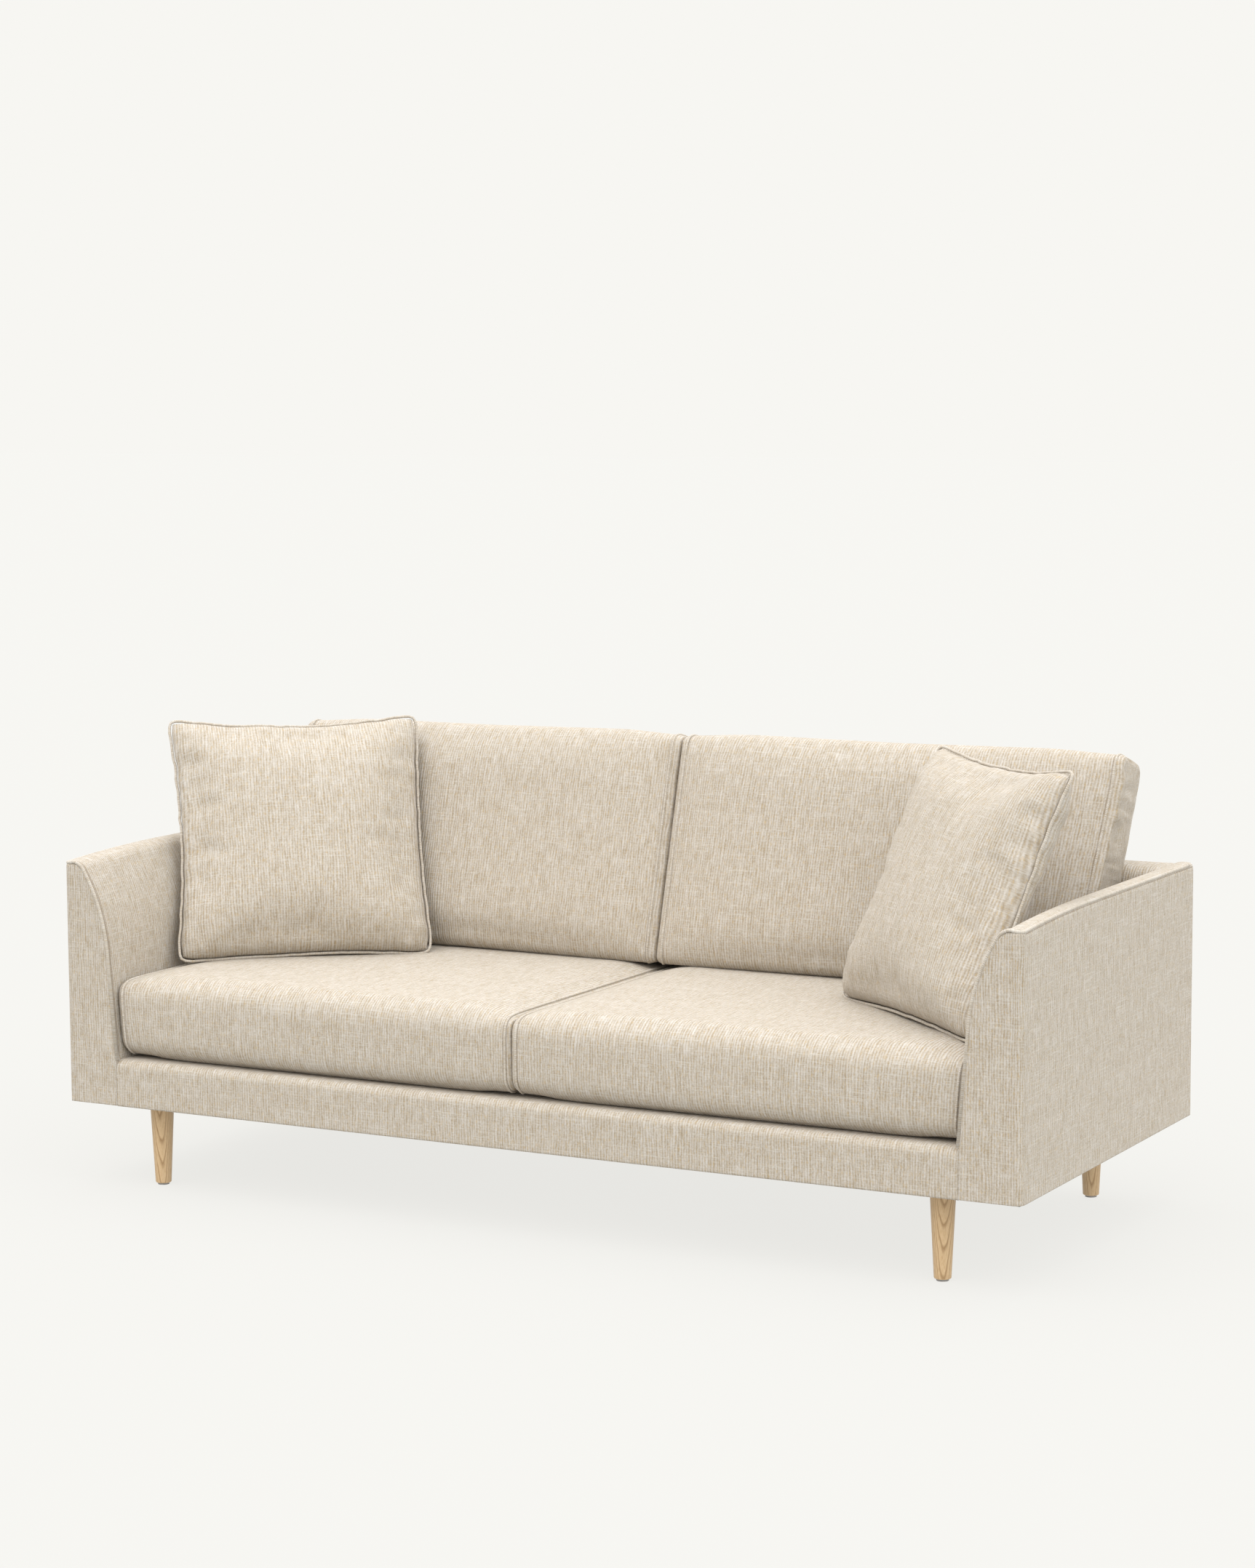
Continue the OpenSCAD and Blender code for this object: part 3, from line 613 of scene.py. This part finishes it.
# %% Back cushions
def back_cushion(side):
    name = "back_cushion_" + ("right" if side > 0 else "left")
    lo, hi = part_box(name.replace("cushion", "cover"))
    up = Vector((0, math.sin(RAKE), math.cos(RAKE)))
    out = Vector((0, math.cos(RAKE), -math.sin(RAKE)))
    thick = 0.174 * math.cos(RAKE)
    foot = Vector((0, lo.y, lo.z))
    tall = 0.490 / math.cos(RAKE)
    shrink = 0.010
    a = foot + up * 0.003 + out * shrink
    b = foot + up * (tall + 0.006) + out * shrink
    c = b + out * (thick - shrink - 0.004)
    d = Vector((0, lo.y + 0.174 - 0.004, lo.z + 0.003))
    corners = [(p.y, p.z) for p in (a, b, c, d)]
    bm, outline = block(corners, (0.030, 0.038, 0.034, 0.024), "X", lo.x, hi.x, arc=6)
    cut(bm, AXES["X"], even(lo.x, hi.x, 0.020))
    cut(bm, up, even(0.035, tall - 0.045, 0.022), foot)
    cut(bm, out, even(0.050, thick - 0.04, 0.022), foot)
    run = walk(outline)

    def place(face, co):
        if abs(face.normal.x) > 0.7:
            return co.y, co.z
        return co.x + side * 0.77, along(run, co, [1, 2])

    bm.normal_update()
    lay_cloth(bm, place)
    bm.verts.index_update()
    ends = held_ends(bm, lo.x, hi.x)
    ease_ends(bm, lo.x, hi.x, 0.010, 0.16)
    swell(bm, ends, 6.0, 0.026, spare=0.006)
    press(bm, box_planes(lo, hi, c + out * 0.004, hi.z + 0.004))
    settle(bm, lambda co: min(co.x - lo.x, hi.x - co.x) < 1e-4 or co.z < lo.z + 0.006, 5)
    seams = [side_band(bm, at, inward, 0.017, 0.011) for at, inward in ((lo.x, 1), (hi.x, -1))]
    outer = 0.036 if side > 0 else 0.030

    def lean_out(point):
        height = min(max((point.z - 0.50) / 0.36, 0), 1)
        share = (point.x * side / 0.943)
        point.x += side * outer * height * share ** 3
        rise = min(max((point.z - lo.z) / (hi.z - lo.z), 0), 1)
        front = 1 - min(max((point - foot).dot(out) / thick, 0), 1)
        point.y += (0.018 + 0.026 * share ** 3) * rise * front
        if side < 0:
            point.z -= 0.008 * height * share ** 2

    if side > 0:
        cut(bm, up, even(0.24, tall - 0.030, 0.009), foot)
        bm.normal_update()
        for vert in bm.verts:
            if vert.normal.x > 0.9:
                height = (vert.co - foot).dot(up)
                depth = (vert.co - foot).dot(out) / thick
                crease = noise.noise(Vector((depth * 1.6, height * 42, 5.0))) + 0.5 * noise.noise(Vector((depth * 3.0, height * 90, 9.0)))
                vert.co.x += 0.0085 * crease * math.sin(math.pi * min(max(depth, 0), 1)) - 0.001
    for vert in bm.verts:
        lean_out(vert.co)
        shift_middle(vert.co)
    for points in seams:
        for point in points:
            lean_out(point)
    made = piece(name, bm, oat_linen, name, [name.replace("cushion", part) for part in ("cover", "fill")])
    return [made] + pipe_ends(name, seams, lo.z)


back_cushions = [back_cushion(side) for side in (-1, 1)]

# %% [markdown]
# ## Scatter pillows
# A scatter pillow is two squares of cloth sewn round the edge and overfilled.
# The filling pulls the edges in between the corners, so the corners stay as
# points. A gridded cube is thinned towards its rim until both faces meet there,
# then the cloth fills. A round self piping follows the rim afterwards.

# %% Scatter pillows
TURN, LEAN = math.radians(39), math.radians(24)


def pillow(side):
    name = "scatter_pillow_" + ("right" if side > 0 else "left")
    node = "pillow_cover_" + ("right" if side > 0 else "left")
    lo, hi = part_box(node)
    half = 0.274
    bm = bmesh.new()
    bmesh.ops.create_cube(bm, size=2)
    bmesh.ops.subdivide_edges(bm, edges=bm.edges, cuts=35, use_grid_fill=True)
    for vert in bm.verts:
        x, z = vert.co.x, vert.co.z
        full = max(0.0, (1 - x ** 6) * (1 - z ** 6)) ** 0.5
        reach = max(abs(x), abs(z))
        ease = reach / max((abs(x) ** 20 + abs(z) ** 20) ** (1 / 20), 1e-9) if reach > 0.5 else 1
        pull_x = 0.078 if x * side > 0 else 0.040
        pull_z = 0.088 if z > 0 else 0.040
        waist_x = 1 - pull_x * (1 - z * z) * abs(x) ** 5
        waist_z = 1 - pull_z * (1 - x * x) * abs(z) ** 5
        bow = 0.012 * noise.noise(Vector((x * 1.3, z * 1.3, 4.0 * side)))
        vert.co = (
            x * half * ease * waist_x,
            vert.co.y * full * 0.046 + bow,
            z * half * ease * waist_z,
        )
    bmesh.ops.remove_doubles(bm, verts=bm.verts, dist=0.0006)
    bm.verts.index_update()
    bm.normal_update()
    lay_cloth(bm, lambda face, co: (co.x + (0.4 if face.normal.y > 0 else 0) + side, co.z))
    rim = [e for e in bm.edges if len(e.link_faces) == 2
           and e.link_faces[0].normal.y * e.link_faces[1].normal.y < 0
           and max(abs(v) for v in (e.verts[0].co.x, e.verts[0].co.z)) > half * 0.90]
    start = rim[0].verts[0]
    chain, used = [start], set()
    while True:
        nxt = [e for e in chain[-1].link_edges if e in rim and e not in used]
        if not nxt:
            break
        used.add(nxt[0])
        other = nxt[0].other_vert(chain[-1])
        if other == start:
            break
        chain.append(other)
    print(name, "rim", len(rim), "walked", len(chain))
    swell(bm, chain, 7.0, 0.050, spare=0.035, stiffness=9.0)
    bm.normal_update()
    for vert in bm.verts:
        x, z = vert.co.x, vert.co.z
        deep = half - max(abs(x), abs(z))
        run, other = (z, 3.0) if abs(x) > abs(z) else (x, 0.0)
        pucker = noise.noise(Vector((run * 34, deep * 9, 2.0 + side + other)))
        vert.co += vert.normal * 0.0050 * pucker * math.exp(-((deep - 0.038) / 0.030) ** 2)
    where = (
        Matrix.Translation((lo + hi) / 2)
        @ Matrix.Rotation(-side * TURN, 4, "Z")
        @ Matrix.Rotation(-LEAN, 4, "X")
    )
    bmesh.ops.transform(bm, matrix=where, verts=bm.verts)
    press(bm, [((0, 0, lo.z), (0, 0, -1))])
    rim_points = [v.co.copy() for v in chain]
    made = piece(name, bm, oat_linen, name, [node, node.replace("cover", "pad")])
    cord_points = [p + Vector((0, 0, 0.0)) for p in rim_points]
    piping = tube(name + "_piping", cord_points, 0.0030, name, piping_linen)
    return made, piping


pillows = [pillow(side) for side in (-1, 1)]

# %% [markdown]
# ## Arms
# Each arm is a slim, tightly covered panel. One cloth wraps the front and the
# outer side round a soft upright corner with no seam. Another lines the inner
# face, curves over and makes the top, and self piping marks where it meets the
# front. The arm is drawn from the front and pushed back to the rear.

# %% Arms
def rear_rise(point):
    """The arm top climbs a little towards the rear."""
    back = min(max((point.y + 0.45) / 0.35, 0), 1)
    point.z += 0.013 * back * (2 - back) * min(max((point.z - 0.45) / 0.23, 0), 1) ** 2


def arm(side):
    word = "right" if side > 0 else "left"
    lo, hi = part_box("arm_outer_cover_" + word)
    outside, foot = side * 1.075, side * 0.948
    slant, radius = math.radians(4.9), 0.375
    tangent = 0.127 - (0.500 - 0.272) * math.tan(slant)
    centre = (tangent - radius * math.cos(slant), 0.500 - radius * math.sin(slant))
    last = math.asin((0.683 - centre[1]) / radius)
    curve = [
        (centre[0] + radius * math.cos(slant + (last - slant) * k / 9),
         centre[1] + radius * math.sin(slant + (last - slant) * k / 9))
        for k in range(10)
    ]
    inner = [(0.127, 0.173), (0.127, 0.272)] + curve
    corners = [(outside, 0.173), (outside, 0.683)] + [(outside - side * w, z) for w, z in reversed(inner)]
    radii = [0, 0, 0.016] + [0] * (len(inner) - 1)
    bm, outline = block(corners, radii, "Y", -0.4600, 0.4595, arc=4)
    run = walk(outline)
    cut(bm, AXES["Y"], [-0.4550, -0.4500, -0.4440, -0.4380, -0.4320] + even(-0.432, 0.445, 0.030) + [0.445, 0.450, 0.456])
    cut(bm, AXES["Z"], [0.176, 0.182, 0.2] + even(0.2, 0.66, 0.030) + [0.660, 0.670, 0.6752, 0.6765, 0.6778, 0.681])
    cut(bm, AXES["X"], [outside - side * w for w in (0.002, 0.006, 0.0095, 0.011, 0.0125, 0.016, 0.022, 0.028, 0.05, 0.07, 0.09, 0.11)])

    def place(face, co):
        inside = face.normal.x * side < -0.2 or face.normal.z > 0.5
        if abs(face.normal.y) > 0.8 or not inside:
            return co.x + side * (co.y + 0.46), co.z
        return co.y, along(run, co, [0, 2])

    bm.normal_update()
    lay_cloth(bm, place)
    # The two stitched seams are pressed in a little and darkened with painted shade in their grooves.
    seam_shade = seam_shade_layer(bm)
    for vert in bm.verts:
        inset = (outside - vert.co.x) * side
        if inset < 0.0005 and abs(vert.co.z - 0.6765) < 0.0003 and vert.co.y > -0.4495:
            vert[seam_shade] = 0.8
            vert.co.x -= side * 0.0015
        if inset > 0.004 and abs(vert.co.y + 0.4500) < 0.0003 and vert.co.z > 0.2725:
            vert[seam_shade] = 0.7
            vert.co += Vector((side, 0, -0.5)) * 0.0010
    soften(bm, (outside, 0, 0.683), (side, 0, 0), (0, 0, 1), 0.014)
    soften(bm, (0, -0.460, 0.683), (0, -1, 0), (0, 0, 1), 0.012)
    soften(bm, (outside, -0.460, 0), (side, 0, 0), (0, -1, 0), 0.018)
    soften(bm, (outside, 0.4595, 0), (side, 0, 0), (0, 1, 0), 0.004)
    for vert in bm.verts:
        rear_rise(vert.co)
    crease = bm.edges.layers.float.get("crease_edge") or bm.edges.layers.float.new("crease_edge")
    for edge in bm.edges:
        if all(abs(v.co.x - foot) < 1e-4 and v.co.z < 0.2735 and abs(v.co.y + 0.46) < 1e-4 for v in edge.verts):
            edge[crease] = 1.0
    under = [f for f in bm.faces if f.normal.z < -0.9 and f.calc_center_median().z < 0.1735]
    bmesh.ops.inset_region(bm, faces=under, thickness=0.012, use_even_offset=True)
    bmesh.ops.translate(bm, verts=list({v for f in under for v in f.verts}), vec=(0, 0, 0.006))
    name = "arm_upholstery_" + word
    made = piece(
        name, bm, oat_linen, "sofa_frame",
        [n + "_" + word for n in ("arm_foam", "arm_inner_cover", "arm_outer_cover")],
    )
    edge = [p for p in outline if p.z > 0.2719 and (outside - p.x) * side > 0.024]
    edge.sort(key=lambda p: along(run, p, [0, 2]))
    edge = [Vector((p.x, -0.4580, p.z)) for p in edge]
    if edge[0].z < edge[-1].z:
        edge.reverse()
    top = [Vector((outside - side * 0.0040, y, 0.6790)) for y in [0.440 - 0.0304 * k for k in range(30)]]
    top += [Vector((outside - side * a, b, c)) for a, b, c in (
        (0.0055, -0.4490, 0.6792), (0.0085, -0.4535, 0.6797), (0.0140, -0.4560, 0.6805), (0.0200, -0.4568, 0.6812))]
    edge = top + edge
    for point in edge:
        rear_rise(point)
    piping = tube("arm_seam_piping_" + word, edge, 0.0034, "sofa_frame", piping_linen, closed=False)
    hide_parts("arm_piping_" + word)
    return made, piping


arms = [arm(side) for side in (-1, 1)]

# %% [markdown]
# ## The low back and the front rail
# The low back is foam over a top rail, with its cloth rolled over the top, and
# a flat outside panel closes the rear. The front rail is a thin pad whose cloth
# turns over the top edge under the seat cushions.

# %% Back
def keep_crisp(bm, where):
    """Stops the finer mesh from rounding the edges whose two ends are both there."""
    crease = bm.edges.layers.float.get("crease_edge") or bm.edges.layers.float.new("crease_edge")
    for edge in bm.edges:
        if all(where(v.co) for v in edge.verts):
            edge[crease] = 1.0


def low_back():
    lo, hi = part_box("back_inner_cover")
    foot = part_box("deck_cloth")[1].y + 0.0006
    corners = [(foot, lo.z), (0.367, hi.z), (hi.y - 0.0005, hi.z), (hi.y - 0.0005, lo.z)]
    bm, outline = block(corners, (0, 0.026, 0.008, 0), "X", lo.x, hi.x)
    cut(bm, AXES["X"], even(lo.x, hi.x, 0.040))
    cut(bm, AXES["Z"], even(lo.z, hi.z - 0.03, 0.040))
    cut(bm, AXES["Y"], [0.40, 0.42, 0.44])
    run = walk(outline)
    bm.normal_update()
    lay_cloth(bm, lambda face, co: (co.y, co.z) if abs(face.normal.x) > 0.7 else (co.x, along(run, co, [1, 2])))
    keep_crisp(bm, lambda co: co.z < lo.z + 1e-4)
    return piece("back_upholstery", bm, oat_linen, "sofa_frame", ["back_inner_cover", "back_foam"])


def back_panel():
    lo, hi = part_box("back_outer_cover")
    bm, outline = block(
        [(hi.y - 0.006, lo.z), (hi.y - 0.006, hi.z), (hi.y, hi.z), (hi.y, lo.z)],
        (0, 0.002, 0.002, 0.001), "X", lo.x, hi.x, arc=2,
    )
    cut(bm, AXES["X"], even(lo.x, hi.x, 0.040))
    cut(bm, AXES["Z"], even(lo.z, hi.z, 0.040))
    bm.normal_update()
    lay_cloth(bm, lambda face, co: (co.x, co.z))
    return piece("back_panel", bm, oat_linen, "sofa_frame", ["back_outer_cover"])


def front_rail_pad():
    lo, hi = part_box("rail_cover")
    bm, outline = block(
        [(lo.y, lo.z), (lo.y, hi.z), (hi.y, hi.z), (hi.y, lo.z)],
        (0.005, 0.018, 0.002, 0.002), "X", -0.9486, 0.9486, arc=6,
    )
    cut(bm, AXES["X"], even(-0.9486, 0.9486, 0.040))
    cut(bm, AXES["Z"], even(lo.z + 0.01, hi.z - 0.02, 0.025))
    cut(bm, AXES["Y"], [-0.43, -0.41])
    run = walk(outline)
    bm.normal_update()
    lay_cloth(bm, lambda face, co: (co.x, along(run, co, [1, 2]) + 0.173))
    bmesh.ops.delete(bm, geom=[f for f in bm.faces if abs(f.normal.x) > 0.9], context="FACES")
    bmesh.ops.translate(bm, verts=bm.verts, vec=(0, 0.0002, 0))
    return piece("front_rail_pad", bm, oat_linen, "sofa_frame", ["rail_cover", "rail_foam"])


frame_pads = [low_back(), back_panel(), front_rail_pad()]

# %% [markdown]
# ## Turned ash legs
# A leg is turned on a lathe from pale ash, so a spin of its outline makes it as
# the real one is made. The grain is a set of growth rings that the tapered
# turning cuts at a slant, which gives the tall arches. The rings are drawn round
# a pith that lies outside the leg and are bent a little by slow noise.

# %% Wood
def timber_finish(name, light, dark, rings, wander, grain_way, along_scale=0.05, rough=0.45):
    material, tree, shader = new_finish(name, Roughness=rough, Specular_IOR_Level=0.4, Coat_Weight=0.08, Coat_Roughness=0.35)
    link = tree.links.new
    spot = add(tree, "ShaderNodeTexCoord")
    lay = add(tree, "ShaderNodeMapping", {"Scale": (1, 1, along_scale)})
    across, deep = grain_way
    link(spot.outputs["Object"], lay.inputs["Vector"])
    slow = add(tree, "ShaderNodeTexNoise", {"Scale": 16.0, "Detail": 3.0, "Roughness": 0.45})
    link(lay.outputs[0], slow.inputs["Vector"])
    split = add(tree, "ShaderNodeSeparateXYZ")
    link(lay.outputs[0], split.inputs[0])
    level = sums(tree, "MULTIPLY_ADD", split.outputs["X"], across, sums(tree, "MULTIPLY", split.outputs["Y"], deep))
    depth = sums(tree, "MULTIPLY_ADD", slow.outputs["Fac"], wander, level)
    ring = sums(tree, "FRACT", sums(tree, "MULTIPLY", depth, rings), 0.0)
    late = ramp(tree, ring, [(0.0, light), (0.60, tuple(0.88 * a + 0.12 * b for a, b in zip(light, dark))), (0.86, dark), (1.0, light)])
    pore_lay = add(tree, "ShaderNodeMapping", {"Scale": (1, 1, 0.04)})
    link(spot.outputs["Object"], pore_lay.inputs["Vector"])
    pores = add(tree, "ShaderNodeTexNoise", {"Scale": 1500.0, "Detail": 2.0})
    link(pore_lay.outputs[0], pores.inputs["Vector"])
    fine = add(tree, "ShaderNodeMix", data_type="RGBA", blend_type="MULTIPLY")
    link(ramp(tree, pores.outputs["Fac"], [(0.36, (0.55, 0.55, 0.55)), (0.52, (0.0, 0.0, 0.0))]), fine.inputs[0])
    link(late, fine.inputs[6])
    fine.inputs[7].default_value = (0.72, 0.60, 0.44, 1)
    link(fine.outputs[2], shader.inputs["Base Color"])
    bumped(tree, shader, pores.outputs["Fac"], 0.12, 0.0004)
    return material


ash = timber_finish("oiled ash", (0.600, 0.430, 0.250), (0.340, 0.210, 0.098), 330, 0.016, (0.474, -0.880), 0.16)
pine = timber_finish("planed pine", (0.600, 0.430, 0.240), (0.450, 0.270, 0.110), 70, 0.055, (0.6, 1.0), rough=0.6)


def turned_leg(front, side):
    word = ("front" if front else "rear") + "_" + ("right" if side > 0 else "left")
    lo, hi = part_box("leg_" + word)
    middle = (lo + hi) / 2
    foot, top = 0.0165, (hi.x - lo.x) / 2
    bm = bmesh.new()
    outline = [bm.verts.new((r, 0, z)) for r, z in ((0.0008, lo.z), (foot, lo.z), (top, hi.z - 0.0015), (0.0008, hi.z - 0.0015))]
    edges = [bm.edges.new(pair) for pair in zip(outline, outline[1:])]
    bmesh.ops.bevel(bm, geom=[outline[1]], offset=0.0024, offset_type="OFFSET", affect="VERTICES", segments=4, profile=0.5, material=-1)
    bmesh.ops.spin(bm, geom=bm.verts[:] + bm.edges[:], cent=(0, 0, 0), axis=(0, 0, 1), angle=2 * math.pi, steps=56, use_merge=True)
    bmesh.ops.remove_doubles(bm, verts=bm.verts, dist=1e-6)
    holes = [e for e in bm.edges if e.is_boundary]
    bmesh.ops.holes_fill(bm, edges=holes)
    bmesh.ops.recalc_face_normals(bm, faces=bm.faces)
    bmesh.ops.translate(bm, verts=bm.verts, vec=(middle.x, middle.y, 0))
    made = piece("leg_" + word + "_turned", bm, ash, "sofa_frame", ["leg_" + word], smooth=0)
    sharp = made.modifiers.new("rim", "EDGE_SPLIT")
    sharp.split_angle = math.radians(50)
    return made


legs = [turned_leg(front, side) for front in (True, False) for side in (-1, 1)]

# %% [markdown]
# ## Deck cloth and dust cover
# Under the seat cushions a plain cotton deck cloth is stretched over the springs,
# and a black non-woven sheet closes the underside. Both are thin sheets, so each
# is a grid with a slight sag rather than a block.

# %% Sheets
def woven(name, light, dark, pitch, rough=0.95):
    material, tree, shader = new_finish(name, Roughness=rough, Specular_IOR_Level=0.15)
    link = tree.links.new
    spot = add(tree, "ShaderNodeTexCoord")
    split = add(tree, "ShaderNodeSeparateXYZ")
    link(spot.outputs["Object"], split.inputs[0])
    warp = sums(tree, "SINE", sums(tree, "MULTIPLY", split.outputs["X"], 2 * math.pi / pitch), 0.0)
    weft = sums(tree, "SINE", sums(tree, "MULTIPLY", split.outputs["Y"], 2 * math.pi / pitch), 0.0)
    height = sums(tree, "MULTIPLY", warp, weft)
    fuzz = add(tree, "ShaderNodeTexNoise", {"Scale": 260.0, "Detail": 4.0})
    link(spot.outputs["Object"], fuzz.inputs["Vector"])
    tone = sums(tree, "MULTIPLY_ADD", height, 0.18, fuzz.outputs["Fac"])
    link(ramp(tree, tone, [(0.25, dark), (0.75, light)]), shader.inputs["Base Color"])
    bumped(tree, shader, tone, 0.4, 0.0006)
    return material


cotton = woven("deck cotton", (0.62, 0.57, 0.48), (0.47, 0.42, 0.34), 0.0022)
spunbond = woven("dust cloth", (0.035, 0.035, 0.038), (0.014, 0.014, 0.016), 0.0030)


def stretched(name, node, material, sag, clear=()):
    lo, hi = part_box(node)
    bm = bmesh.new()
    bmesh.ops.create_grid(bm, x_segments=96, y_segments=48, size=0.5)
    middle = (lo + hi) / 2
    for vert in bm.verts:
        x, y = vert.co.x * 2, vert.co.y * 2
        dip = (1 - x ** 4) * (1 - y ** 4)
        ripple = noise.noise(Vector((x * 9, y * 5, 1.0))) * 0.0006
        vert.co = (middle.x + vert.co.x * (hi.x - lo.x), middle.y + vert.co.y * (hi.y - lo.y), middle.z - (sag * dip) + ripple * dip)
    gone = [f for f in bm.faces if any((f.calc_center_median().xy - Vector(c)).length < 0.013 for c in clear)]
    bmesh.ops.delete(bm, geom=gone, context="FACES")
    bmesh.ops.solidify(bm, geom=bm.faces[:], thickness=-0.0004)
    bmesh.ops.recalc_face_normals(bm, faces=bm.faces)
    made = piece(name, bm, material, "sofa_frame", [node], smooth=0)
    return made


leg_spots = [(x, y) for x in (-0.888, 0.888) for y in (-0.385, 0.385)]
sheets = [
    stretched("deck_sheet", "deck_cloth", cotton, 0.0002),
    stretched("dust_sheet", "dust_cover", spunbond, 0.0030, leg_spots),
]

# %% [markdown]
# ## Finishes for the carried-over parts
# The timber, hardboard, springs and fixings keep their CAD shape. They are out
# of sight on a finished sofa, but they show when the cushions come off, so each
# gets a finish of its own: planed pine, pressed fibre, or a dull metal.

# %% Hidden finishes
def speckled(name, light, dark, size, rough, metal=0.0):
    material, tree, shader = new_finish(name, Roughness=rough, Metallic=metal)
    spot = add(tree, "ShaderNodeTexCoord")
    grain = add(tree, "ShaderNodeTexNoise", {"Scale": size, "Detail": 5.0})
    tree.links.new(spot.outputs["Object"], grain.inputs["Vector"])
    tree.links.new(ramp(tree, grain.outputs["Fac"], [(0.35, dark), (0.65, light)]), shader.inputs["Base Color"])
    bumped(tree, shader, grain.outputs["Fac"], 0.2, 0.0003)
    return material


finishes = {
    speckled("pressed hardboard", (0.30, 0.19, 0.10), (0.20, 0.12, 0.06), 500, 0.7): ["arm_liner", "back_board"],
    speckled("zinc steel", (0.56, 0.57, 0.58), (0.42, 0.43, 0.44), 300, 0.35, 1.0): [
        "seat_springs", "frame_bolts", "upright_screws", "hanger_bolts", "tee_nuts"],
    speckled("clip nylon", (0.70, 0.70, 0.67), (0.60, 0.60, 0.57), 120, 0.5): ["spring_clips"],
    speckled("grey glide", (0.30, 0.29, 0.28), (0.22, 0.21, 0.20), 400, 0.55): ["glides"],
    speckled("grey felt", (0.50, 0.49, 0.46), (0.30, 0.29, 0.28), 700, 0.95): ["deck_pad"],
    pine: ["front_rail", "rear_rail", "side_rail", "centre_stretcher", "leg_blocks", "arm_post",
           "arm_top_rail", "back_upright", "back_top_rail"],
}
dressed = 0
for material, starts in finishes.items():
    for name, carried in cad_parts.items():
        if any(name.startswith(start) for start in starts):
            for place in carried.material_slots:
                place.material = material
            if not carried.material_slots:
                carried.data.materials.append(material)
            dressed += 1
print(dressed, "carried-over parts dressed")

# %% [markdown]
# ## Floor and light
# The ground is a lit acrylic sheet, as a product studio uses: it glows almost
# as bright as the backdrop, so only a faint shadow is left under the sofa. The
# world is the same off-white, and one broad high lamp lightens the seat tops.

# %% Studio
scene = bpy.context.scene
scene.world = bpy.data.worlds.new("studio")
scene.world.use_nodes = True
sky = scene.world.node_tree
backdrop = sky.nodes["Background"]
way = add(sky, "ShaderNodeTexCoord")
height = add(sky, "ShaderNodeSeparateXYZ")
sky.links.new(way.outputs["Generated"], height.inputs[0])
softbox = ramp(sky, height.outputs["Z"], [(0.36, (0.930, 0.922, 0.888)), (0.82, (2.35, 2.36, 2.38))])
sky.links.new(softbox, backdrop.inputs["Color"])
backdrop.inputs["Strength"].default_value = 1.0

floor_finish, floor_tree, floor_shader = new_finish(
    "studio floor", Base_Color=(0.063, 0.063, 0.061, 1), Roughness=1.0, Specular_IOR_Level=0.0,
    Emission_Color=(0.930, 0.922, 0.888, 1), Emission_Strength=0.855,
)
ground = bmesh.new()
bmesh.ops.create_grid(ground, x_segments=8, y_segments=8, size=60)
bmesh.ops.translate(ground, verts=ground.verts, vec=(0, 0, -0.0003))
floor_mesh = bpy.data.meshes.new("studio_floor")
ground.to_mesh(floor_mesh)
ground.free()
floor_mesh.materials.append(floor_finish)
floor = bpy.data.objects.new("studio_floor", floor_mesh)
scene.collection.objects.link(floor)

def lamp(name, energy, spread, toward, colour):
    """A broad far lamp whose light comes from the direction toward."""
    made = bpy.data.objects.new(name, bpy.data.lights.new(name, "SUN"))
    made.data.energy = energy
    made.data.angle = math.radians(spread)
    made.data.color = colour
    made.rotation_euler = Vector(toward).to_track_quat("Z", "Y").to_euler()
    scene.collection.objects.link(made)
    return made


lamps = [
    lamp("side window", 0.72, 60, (0.9, -0.25, 0.45), (0.90, 0.96, 1.0)),
    lamp("front softbox", 0.86, 50, (-0.20, -0.6, 0.95), (1.0, 0.985, 0.96)),
]
print("lamps", [l.name for l in lamps])
